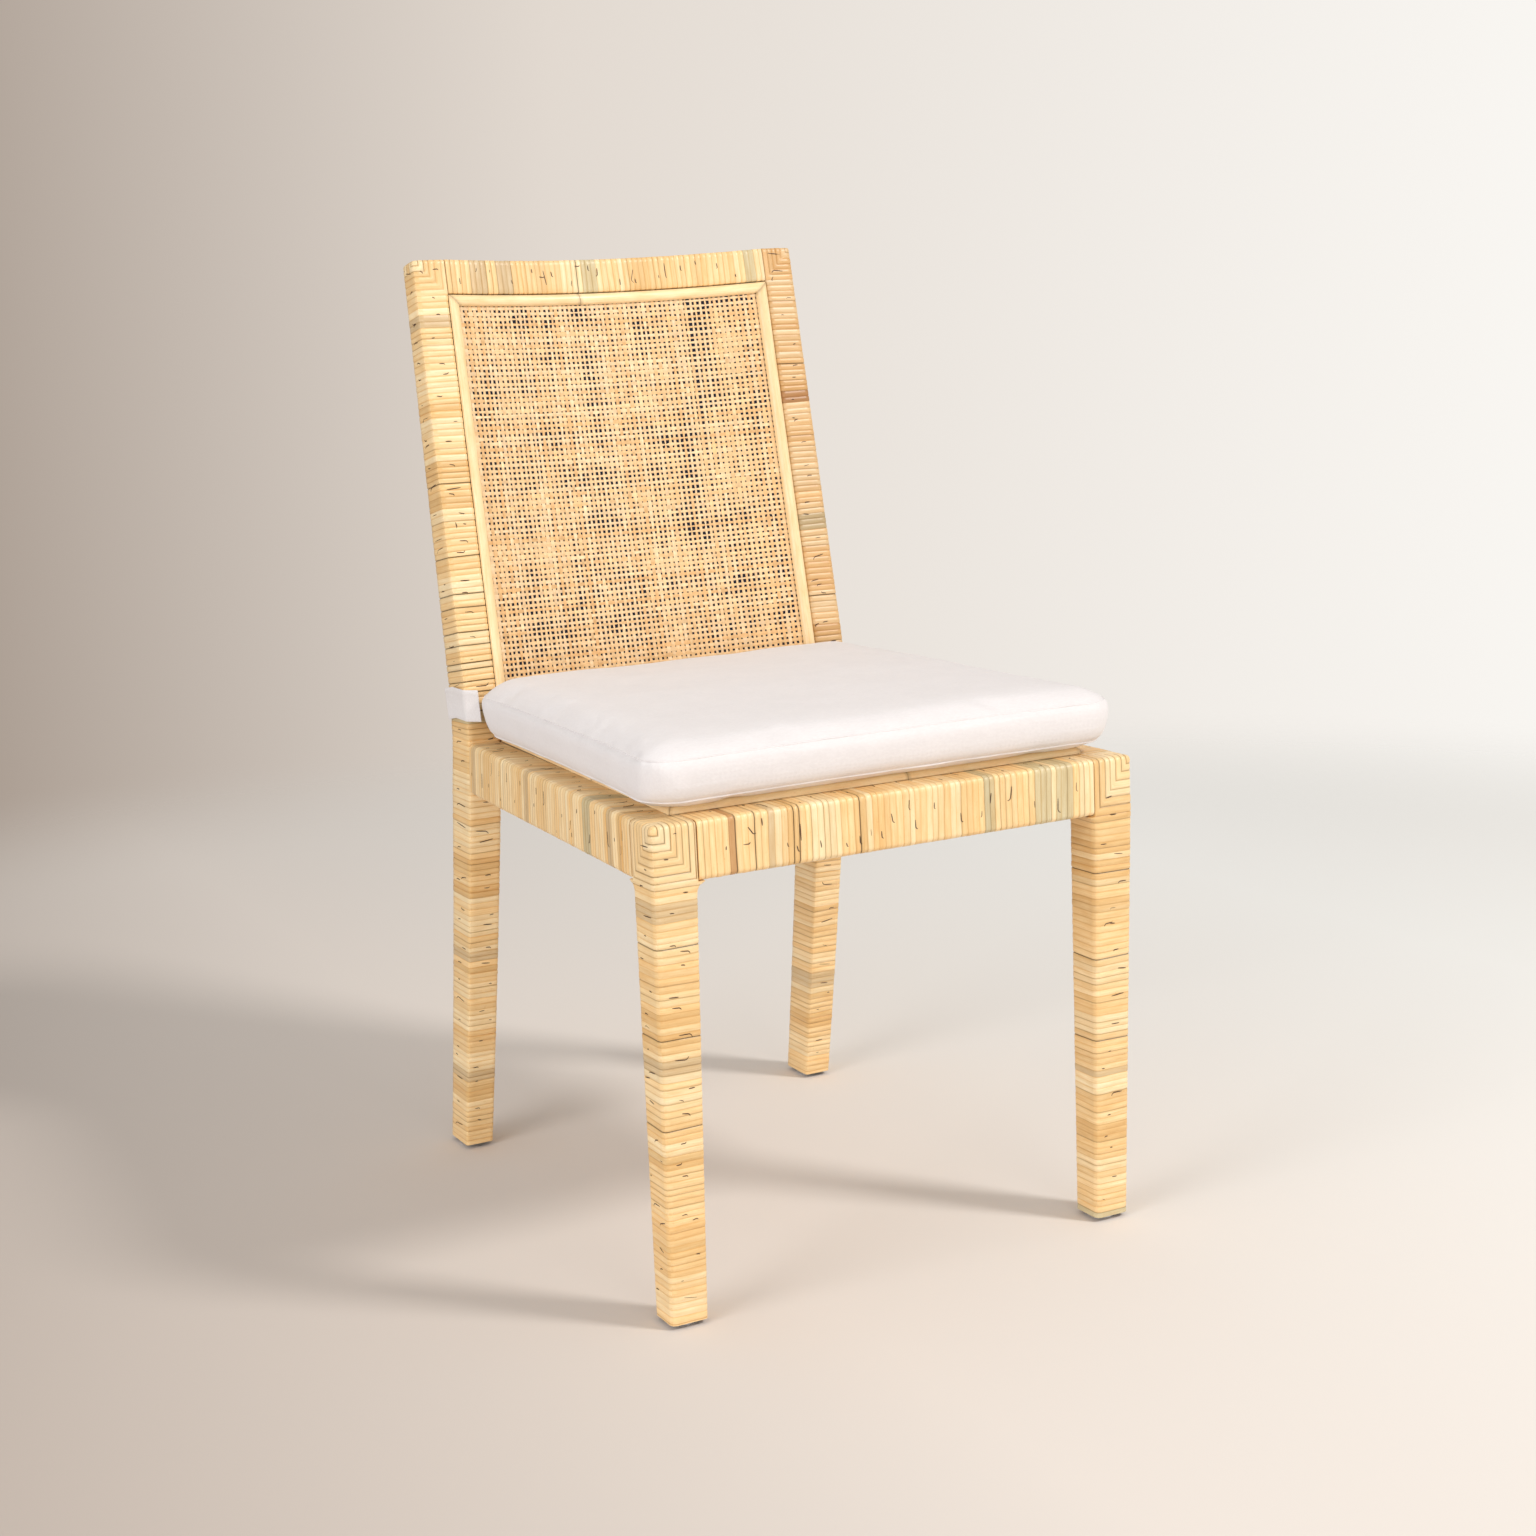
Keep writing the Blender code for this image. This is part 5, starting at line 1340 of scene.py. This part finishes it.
def drawn_side(before, after, middle):
    """Points between two corners, drawn in towards the middle of the side."""
    steps = int(math.dist(before, after) / OUTLINE_STEP)
    points = []
    along_y = abs(after[1] - before[1]) > abs(after[0] - before[0])
    for step in range(1, steps):
        share = step / steps
        x = before[0] + (after[0] - before[0]) * share
        y = before[1] + (after[1] - before[1]) * share
        pull = CUSHION_DRAW_IN * math.sin(math.pi * share)
        if along_y:
            x -= math.copysign(pull, x)
        else:
            y += pull if y < middle else -pull
        points.append((x, y))
    return points


def cushion_outline(height, inset, rounding=0.0):
    """The cushion's outline at a height, drawn in by the inset, with rounder corners where asked."""
    front = CUSHION_FRONT_SETBACK + inset
    rear = cushion_rear(height) - inset
    radius = max(CUSHION_CORNER - inset + rounding, LEAST_CORNER)
    front_half, rear_half = CUSHION_WIDTH_FRONT / 2 - inset, CUSHION_WIDTH_REAR / 2 - inset
    arcs = [corner_arc(-front_half + radius, front + radius, radius, math.pi),
            corner_arc(front_half - radius, front + radius, radius, 1.5 * math.pi),
            corner_arc(rear_half - radius, rear - radius, radius, 0.0),
            corner_arc(-rear_half + radius, rear - radius, radius, 0.5 * math.pi)]
    points = []
    for index, arc in enumerate(arcs):
        following = arcs[(index + 1) % len(arcs)]
        points += arc + drawn_side(arc[-1], following[0], (front + rear) / 2)
    return points


def reach_along(points):
    """How far along a line each of its points lies."""
    return np.concatenate(([0.0], np.cumsum(np.linalg.norm(np.diff(points, axis=0), axis=1))))


def points_at(places, reach, points):
    return np.stack([np.interp(places, reach, points[:, axis]) for axis in (0, 1)], axis=1)


def even_outline(height, inset, count, rounding=0.0):
    """The outline as a fixed count of evenly spaced points."""
    points = np.array(cushion_outline(height, inset, rounding))
    closed = np.vstack((points, points[:1]))
    reach = reach_along(closed)
    return points_at(np.linspace(0.0, reach[-1], count, endpoint=False), reach, closed)


def undercut_outline(height, inset, drawn, count):
    """The outline under the pad, drawn in less at the sides than at the front."""
    outline = even_outline(height, inset + drawn, count, drawn * UNDERCUT_ROUNDING_SHARE)
    half = CUSHION_WIDTH_FRONT / 2 - inset
    outline[:, 0] *= (half - drawn * SIDE_UNDERCUT_SHARE) / (half - drawn)
    return outline


def pad_rings(inset, count):
    """Rings of the pad: outline, share of it towards the middle, and height."""
    base = CUSHION_BASE + inset
    top = HIGH_SEAM - inset
    under = undercut_outline(base, inset, UNDERCUT, count)
    rings = [(under, share, base) for share in BASE_SHARES]
    for degrees in UNDERCUT_DEGREES:
        angle = math.radians(degrees)
        drawn = UNDERCUT * (1.0 - math.sin(angle))
        height = base + (UNDERCUT_TOP - base) * (1.0 - math.cos(angle))
        rings.append((undercut_outline(height, inset, drawn, count), 1.0, height))
    waist = (UNDERCUT_TOP + top) / 2
    rings.append((even_outline(waist, inset - CUSHION_BULGE, count), 1.0, waist))
    rings.append((even_outline(top, inset, count), 1.0, top))
    for step in range(1, CROWN_EDGE_LAST + 1):
        drawn = CROWN_EDGE_WIDTH * (step / CROWN_EDGE_STEPS) ** CROWN_STEP_POWER
        rise = CROWN_EDGE_RISE * (1.0 - (1.0 - drawn / CROWN_EDGE_WIDTH) ** CROWN_EDGE_POWER)
        rings.append((even_outline(top, inset + drawn, count), 1.0, top + rise))
    innermost, _, height = rings[-1]
    left_over = top + CROWN_EDGE_RISE - height
    for share in TOP_SHARES:
        rise = left_over * min((1.0 - share) / TOP_BLEND_SHARE, 1.0) + CROWN_DOME * (1.0 - share * share)
        rings.append((innermost, share, height + rise))
    return rings


def pad_mesh(name, inset):
    """The pad before it is blown up, its crown lower towards the front."""
    vertices = []
    rings = pad_rings(inset, PAD_AROUND)
    for outline, share, height in rings:
        middle = (CUSHION_FRONT_SETBACK + cushion_rear(height)) / 2
        for x, y in outline:
            depth = middle + (y - middle) * share
            full = FRONT_CROWN_SHARE + (1.0 - FRONT_CROWN_SHARE) * min(depth / middle, 1.0)
            crown = max(height - HIGH_SEAM, 0.0) * (full - 1.0)
            vertices.append((x * share, FRONT_Y + depth, height + crown))
    return mesh_of(name, vertices, sweep_faces(len(rings), PAD_AROUND), PAD_SMOOTH_DEGREES)


def evaluated_mesh(obj):
    return bpy.data.meshes.new_from_object(obj.evaluated_get(bpy.context.evaluated_depsgraph_get()))


def apply_modifiers(obj):
    obj.data = evaluated_mesh(obj)
    obj.modifiers.clear()


def set_places(mesh, places):
    mesh.vertices.foreach_set("co", np.array(places, np.float32).ravel())
    mesh.update()


def swell(obj):
    """Remesh the pad, blow it up as cloth and cap how far each point moves."""
    remesh = obj.modifiers.new("remesh", "REMESH")
    remesh.mode = "VOXEL"
    remesh.voxel_size = PAD_VOXEL
    remesh.use_smooth_shade = True
    apply_modifiers(obj)
    before = np.array([vertex.co for vertex in obj.data.vertices])
    cloth = obj.modifiers.new("cloth", "CLOTH")
    cloth.settings.quality = PAD_QUALITY
    cloth.settings.use_pressure = True
    cloth.settings.uniform_pressure_force = PAD_PRESSURE
    cloth.settings.effector_weights.gravity = 0.0
    cloth.settings.tension_stiffness = PAD_TENSION
    cloth.settings.bending_stiffness = PAD_BENDING
    scene = bpy.context.scene
    for step in range(1, PAD_FRAMES + 1):
        scene.frame_set(step)
    blown = evaluated_mesh(obj)
    scene.frame_set(1)
    obj.modifiers.clear()
    after = np.array([vertex.co for vertex in blown.vertices])
    move = after - before
    length = np.linalg.norm(move, axis=1, keepdims=True)
    move *= np.minimum(1.0, PAD_CAP / np.maximum(length, TINY))
    set_places(obj.data, before + move)


SEAM_DENT = 0.0005
SEAM_DENT_WIDTH = 0.0035
PUCKER = 0.0006
PUCKER_WIDTH = 0.0070
PUCKER_RATE = 62.0
PUCKER_PHASE = 3.0
SLOW_WAVE = 0.0012
SLOW_WAVE_RATE = 14.0
SIDE_WAVE_SHARE = 0.4
TOP_SLOPE_SHARE = 0.5
FLAT_SLOPE_SHARE = 0.9


def soften(obj):
    """One subdivision, slow waves in the cover, a dent along the seam and puckers that run in from it."""
    subdivision = obj.modifiers.new("subdivision", "SUBSURF")
    subdivision.levels = 1
    subdivision.render_levels = 1
    apply_modifiers(obj)
    places = [vertex.co.copy() for vertex in obj.data.vertices]
    normals = [vertex.normal.copy() for vertex in obj.data.vertices]
    moved = []
    for place, normal in zip(places, normals):
        on_top = normal.z > TOP_SLOPE_SHARE
        wave = noise.noise(place * SLOW_WAVE_RATE) * SLOW_WAVE * (1.0 if on_top else SIDE_WAVE_SHARE)
        pucker = noise.noise(Vector((place.x * PUCKER_RATE, place.y * PUCKER_RATE, PUCKER_PHASE))) * PUCKER
        to_seam = abs(place.z - HIGH_SEAM)
        on_side = abs(normal.z) < FLAT_SLOPE_SHARE
        dent = SEAM_DENT * math.exp(-(to_seam / SEAM_DENT_WIDTH) ** 2) if on_side else 0.0
        place = place + normal * (wave + pucker * math.exp(-to_seam / PUCKER_WIDTH) - dent)
        moved.append((place.x, place.y, max(place.z, CUSHION_BASE)))
    set_places(obj.data, moved)
    obj.data.shade_smooth()


FOAM_DEPTH = 0.0035


def make_foam(pad):
    """The foam, which fills the cover a little way under it."""
    mesh = pad.data.copy()
    mesh.name = "cushion_filling"
    set_places(mesh, [tuple(vertex.co - vertex.normal * FOAM_DEPTH) for vertex in pad.data.vertices])
    object_of("cushion_filling", mesh, "cushion", MATERIALS["foam"], ("cushion_foam",))


SEAM_HALF_WIDTH = 0.0007
SEAM_HALF_HEIGHT = 0.0009
SEAM_AROUND = 8
SEAM_COUNT = 420
SEAM_PROBE = 0.03
SEAM_DRIFT = 0.0006
SEAM_DRIFT_RATE = 30.0
SEAM_SMOOTH_DEGREES = 70


def seam_ring(place, outward):
    """A flattened ring across the seam ridge."""
    ring = []
    for step in range(SEAM_AROUND):
        angle = math.tau * step / SEAM_AROUND
        ring.append(place + outward * (SEAM_HALF_WIDTH * math.cos(angle))
                    + Vector((0.0, 0.0, SEAM_HALF_HEIGHT * math.sin(angle))))
    return ring


def make_seams(pad):
    """The flat seam ridges round the top and bottom edges of the boxing."""
    tree = BVHTree.FromObject(pad, bpy.context.evaluated_depsgraph_get())
    vertices, faces = [], []
    for height in (LOW_RIDGE, HIGH_SEAM):
        outline = even_outline(height, 0.0, SEAM_COUNT)
        offset = len(vertices)
        for index, (x, y) in enumerate(outline):
            before, after = outline[index - 1], outline[(index + 1) % SEAM_COUNT]
            run = Vector((after[0] - before[0], after[1] - before[1], 0.0)).normalized()
            outward = Vector((run.y, -run.x, 0.0))
            place = Vector((x, FRONT_Y + y, height))
            hit = tree.ray_cast(place + outward * SEAM_PROBE, -outward)[0] or place
            drift = SEAM_DRIFT * noise.noise(Vector((x * SEAM_DRIFT_RATE, y * SEAM_DRIFT_RATE, height)))
            vertices += seam_ring(hit + Vector((0.0, 0.0, drift)), outward)
        for ring in range(SEAM_COUNT):
            following = offset + (ring + 1) % SEAM_COUNT * SEAM_AROUND
            faces += band_faces(offset + ring * SEAM_AROUND, following, SEAM_AROUND)
    mesh = mesh_of("cushion_seams", vertices, faces, SEAM_SMOOTH_DEGREES)
    object_of("cushion_seams", mesh, "cushion", MATERIALS["cushion"])


def make_cushion():
    mesh = pad_mesh("cushion_pad", PAD_INSET)
    pad = object_of("cushion_pad", mesh, "cushion", MATERIALS["cushion"], ("cushion_cover",))
    swell(pad)
    make_foam(pad)
    soften(pad)
    pad.data.materials.clear()
    pad.data.materials.append(MATERIALS["cushion"])
    make_seams(pad)


# Strap

STRAP_WIDTH = 0.0305
STRAP_THICKNESS = 0.0017
STRAP_START_HEIGHT = 0.0210
STRAP_RAISE = 0.0070
STRAP_REST_RAISE = 0.0020
STRAP_CLEARANCE = 0.0006
STRAP_OVERLAP = 0.0600
STRAP_CORNER = 0.0080
STRAP_STEP_LENGTH = 0.0200
STRAP_POINT_GAP = 0.0025
STRAP_CORNER_STEPS = 8
STRAP_RUN_STEPS = 60
STRAP_SECTION_SHARES = (0.0, 0.04, 0.13, 0.16, 0.5, 0.84, 0.87, 0.96, 1.0)
STRAP_LIFT_SHARES = (0.35, 0.85, 1.0, 0.62, 0.75, 0.62, 1.0, 0.85, 0.35)
STRAP_WANDER = 0.0004
STRAP_WANDER_RATE = 25.0
STRAP_SMOOTH_DEGREES = 60


def strap_route(side):
    """Places of a strap half in x and behind, from the cushion's corner to past the back's middle."""
    outside = REAR_HALF + STRAP_CLEARANCE + STRAP_THICKNESS / 2
    rest = (SEAT_DEPTH + POST_DEPTH_SEAT - BACK_LINE) * COS_RAKE + STRAP_CLEARANCE + STRAP_THICKNESS / 2
    corner_x = CUSHION_WIDTH_REAR / 2 - CUSHION_CORNER
    corner_behind = -(MOULDING_RISE - CANE_RECESS + FIT + CUSHION_BACK_GAP * COS_RAKE) - CUSHION_CORNER
    reach = CUSHION_CORNER * math.sqrt(0.5)
    points = [(corner_x + reach, corner_behind + reach)]
    points.append((outside, points[0][1] + outside - points[0][0]))
    for step in range(STRAP_CORNER_STEPS + 1):
        angle = 0.5 * math.pi * step / STRAP_CORNER_STEPS
        points.append((outside - STRAP_CORNER * (1.0 - math.cos(angle)),
                       rest - STRAP_CORNER * (1.0 - math.sin(angle))))
    for x in np.linspace(outside - STRAP_CORNER, -STRAP_OVERLAP / 2, STRAP_RUN_STEPS)[1:]:
        step = np.clip((STRAP_OVERLAP / 2 + STRAP_STEP_LENGTH - x) / STRAP_STEP_LENGTH, 0.0, 1.0)
        over = (STRAP_THICKNESS + 2 * FIT) * step * step * (3.0 - 2.0 * step) if side > 0 else 0.0
        points.append((x, rest + float(bow(min(abs(x) / SEAT_CLEAR_HALF, 1.0))) + over))
    return resampled(np.array(points) * (side, 1.0))


def resampled(points):
    """The same route as evenly spaced points, and its length."""
    reach = reach_along(points)
    places = np.linspace(0.0, reach[-1], int(reach[-1] / STRAP_POINT_GAP))
    return points_at(places, reach, points), reach[-1]


def strap_rings(route):
    """Closed sections along a strap: a flat band with a hem along both edges."""
    half_section = list(zip(STRAP_SECTION_SHARES, STRAP_LIFT_SHARES))
    rings = []
    for index, (x, behind) in enumerate(route):
        before, after = route[max(index - 1, 0)], route[min(index + 1, len(route) - 1)]
        run = Vector((after[0] - before[0], after[1] - before[1])).normalized()
        across = Vector((-run.y, run.x)) * (STRAP_THICKNESS / 2)
        level = min((behind - route[0][1]) * TAN_RAKE, STRAP_RAISE)
        middle = max(1.0 - abs(x) / SEAT_CLEAR_HALF, 0.0)
        wander = noise.noise(Vector((x * STRAP_WANDER_RATE, behind * STRAP_WANDER_RATE, 0.0)))
        sag = level + (STRAP_REST_RAISE - STRAP_RAISE) * middle + STRAP_WANDER * wander
        ring = []
        for sign, section in ((1, half_section), (-1, half_section[::-1])):
            for share, lift_share in section:
                along = STRAP_START_HEIGHT + STRAP_WIDTH * share + sag
                lift = sign * lift_share
                ring.append(back_point(x + lift * across.x, along, behind + lift * across.y))
        rings.append(ring)
    return rings


def make_straps():
    for word, side in SIDES:
        route, length = strap_route(side)
        rings = strap_rings(route)
        vertices = [point for ring in rings for point in ring]
        name, node = "strap_band_" + word, "strap_" + word
        mesh = mesh_of(name, vertices, sweep_faces(len(rings), len(rings[0])), STRAP_SMOOTH_DEGREES)
        band = object_of(name, mesh, "cushion", MATERIALS["strap"], (node,))


# Camera, light and stage

CAMERA_PLACE = Vector((-1.02503, -2.02778, 0.84001))
CAMERA_RIGHT = Vector((0.88283, -0.46756, -0.04468))
CAMERA_UP = Vector((0.12650, 0.14508, 0.98130))
CAMERA_FORWARD = Vector((0.45233, 0.87198, -0.18723))
CAMERA_LENS = 57.25
SENSOR_WIDTH = 36.0
FLOOR_HALF = 6.0
FLOOR_FADE_START = 1.7
FLOOR_FADE_END = 2.7
FLOOR_DARK_X = -1.3
FLOOR_LIGHT_X = 1.1
# Painted shade: the floor's colour runs from dark at the left to light at the right, standing for the light
# falling off to the left.
FLOOR_PAINTED_SHADE_STOPS = ((0.0, paint(143, 126, 113)), (1.0, paint(245, 242, 237)), (0.5, paint(227, 217, 208)))
# Painted shade: the backdrop runs from dark at the left to light at the right, standing for the light falling
# off to the left.
BACKDROP_DARK_SHARE = 0.10
BACKDROP_LIGHT_SHARE = 0.75
BACKDROP_PAINTED_SHADE_STOPS = ((0.0, paint(152, 136, 123)), (1.0, paint(252, 250, 246)), (0.45, paint(226, 217, 208)))
AMBIENT = (0.56, 0.56, 0.555)
# Lamps: name, place, target, size, energy, colour
LAMPS = (("key", (2.3, -3.1, 3.7), (0.0, 0.0, 0.35), 0.9, 130.0, (1.0, 0.99, 0.975)),
         ("front", (-0.2, -3.6, 0.8), (0.0, 0.0, 0.35), 1.6, 22.0, (1.0, 0.99, 0.98)),
         ("fill", (-2.7, -0.9, 1.2), (0.0, 0.0, 0.4), 1.8, 41.0, (0.97, 0.98, 1.0)))


def make_camera():
    data = bpy.data.cameras.new("camera")
    data.lens = CAMERA_LENS
    data.sensor_width = SENSOR_WIDTH
    camera = bpy.data.objects.new("camera", data)
    STAGE.objects.link(camera)
    turn = Matrix((CAMERA_RIGHT, CAMERA_UP, -CAMERA_FORWARD)).transposed()
    camera.matrix_world = Matrix.Translation(CAMERA_PLACE) @ turn.to_4x4()
    bpy.context.scene.camera = camera


def area_light(name, place, target, size, energy, colour):
    data = bpy.data.lights.new(name, "AREA")
    data.shape = "DISK"
    data.size = size
    data.energy = energy
    data.color = colour
    light = bpy.data.objects.new(name, data)
    light.location = place
    light.rotation_euler = (Vector(target) - Vector(place)).to_track_quat("-Z", "Y").to_euler()
    STAGE.objects.link(light)


def ramp_of(tree, source, stops):
    """A colour ramp whose first two stops are its ends."""
    ramp = add_node(tree, "ShaderNodeValToRGB")
    elements = ramp.color_ramp.elements
    for element, (position, colour) in zip(elements, stops[:2]):
        element.position = position
        element.color = (*colour, 1.0)
    for position, colour in stops[2:]:
        element = elements.new(position)
        element.color = (*colour, 1.0)
    tree.links.new(source, ramp.inputs["Fac"])
    return ramp.outputs["Color"]


def make_world():
    """Even soft light; what the camera and reflections see is a warm pale backdrop, painted darker to the
    left as painted shade.
    """
    world = bpy.data.worlds.new("studio")
    bpy.context.scene.world = world
    world.use_nodes = True
    tree = world.node_tree
    background = tree.nodes["Background"]
    direction = add_node(tree, "ShaderNodeTexCoord").outputs["Generated"]
    split = add_node(tree, "ShaderNodeSeparateXYZ")
    tree.links.new(direction, split.inputs["Vector"])
    across = spread(tree, split.outputs["X"], 0.0, 1.0, BACKDROP_DARK_SHARE, BACKDROP_LIGHT_SHARE)
    seen = ramp_of(tree, across, BACKDROP_PAINTED_SHADE_STOPS)
    rays = add_node(tree, "ShaderNodeLightPath")
    visible = rays.outputs["Is Camera Ray"]
    for kind in ("Is Glossy Ray", "Is Transmission Ray"):
        either = add_node(tree, "ShaderNodeMath", operation="MAXIMUM")
        tree.links.new(visible, either.inputs[0])
        tree.links.new(rays.outputs[kind], either.inputs[1])
        visible = either.outputs[0]
    tree.links.new(blended(tree, visible, AMBIENT, seen), background.inputs["Color"])


def make_floor():
    """A pale floor, painted darker to the left as painted shade, that fades out behind the chair."""
    mesh = bpy.data.meshes.new("floor")
    corners = [(-FLOOR_HALF, -FLOOR_HALF, 0.0), (FLOOR_HALF, -FLOOR_HALF, 0.0),
               (FLOOR_HALF, FLOOR_HALF, 0.0), (-FLOOR_HALF, FLOOR_HALF, 0.0)]
    mesh.from_pydata(corners, [], [(0, 1, 2, 3)])
    material, tree, shader = new_material("floor", 0.95, 0.0)
    place = add_node(tree, "ShaderNodeNewGeometry").outputs["Position"]
    split = add_node(tree, "ShaderNodeSeparateXYZ")
    tree.links.new(place, split.inputs["Vector"])
    across = spread(tree, split.outputs["X"], 0.0, 1.0, FLOOR_DARK_X, FLOOR_LIGHT_X)
    tree.links.new(ramp_of(tree, across, FLOOR_PAINTED_SHADE_STOPS), shader.inputs["Base Color"])
    distance = add_node(tree, "ShaderNodeVectorMath", operation="LENGTH")
    tree.links.new(place, distance.inputs[0])
    fade = add_node(tree, "ShaderNodeMapRange", {"From Min": FLOOR_FADE_START, "From Max": FLOOR_FADE_END},
                    interpolation_type="SMOOTHSTEP")
    tree.links.new(distance.outputs["Value"], fade.inputs["Value"])
    clear = add_node(tree, "ShaderNodeBsdfTransparent")
    mix = add_node(tree, "ShaderNodeMixShader")
    tree.links.new(fade.outputs["Result"], mix.inputs[0])
    tree.links.new(shader.outputs[0], mix.inputs[1])
    tree.links.new(clear.outputs[0], mix.inputs[2])
    tree.links.new(mix.outputs[0], tree.nodes["Material Output"].inputs["Surface"])
    mesh.materials.append(material)
    floor = bpy.data.objects.new("floor", mesh)
    STAGE.objects.link(floor)


def make_stage():
    make_camera()
    make_world()
    make_floor()
    for lamp in LAMPS:
        area_light(*lamp)
    bpy.context.scene.view_settings.view_transform = "Standard"


dress_cad_nodes()
MEMBERS = make_wraps()
make_marks(MEMBERS)
make_weave("front_cane_weave", "front_cane_net", lambda along: np.full_like(along, CANE_MIDDLE), -1)
make_weave("rear_cane_weave", "rear_cane_net", lambda along: post_depth(along) - CANE_MIDDLE, 1)
make_back_mouldings("front", lambda along: CANE_RECESS - FIT, -1, FRONT_BREAK_SHARES)
make_back_mouldings("rear", lambda along: post_depth(along) - CANE_RECESS + FIT, 1, REAR_BREAK_SHARES)
make_seat_mouldings()
make_cushion()
make_straps()
make_stage()
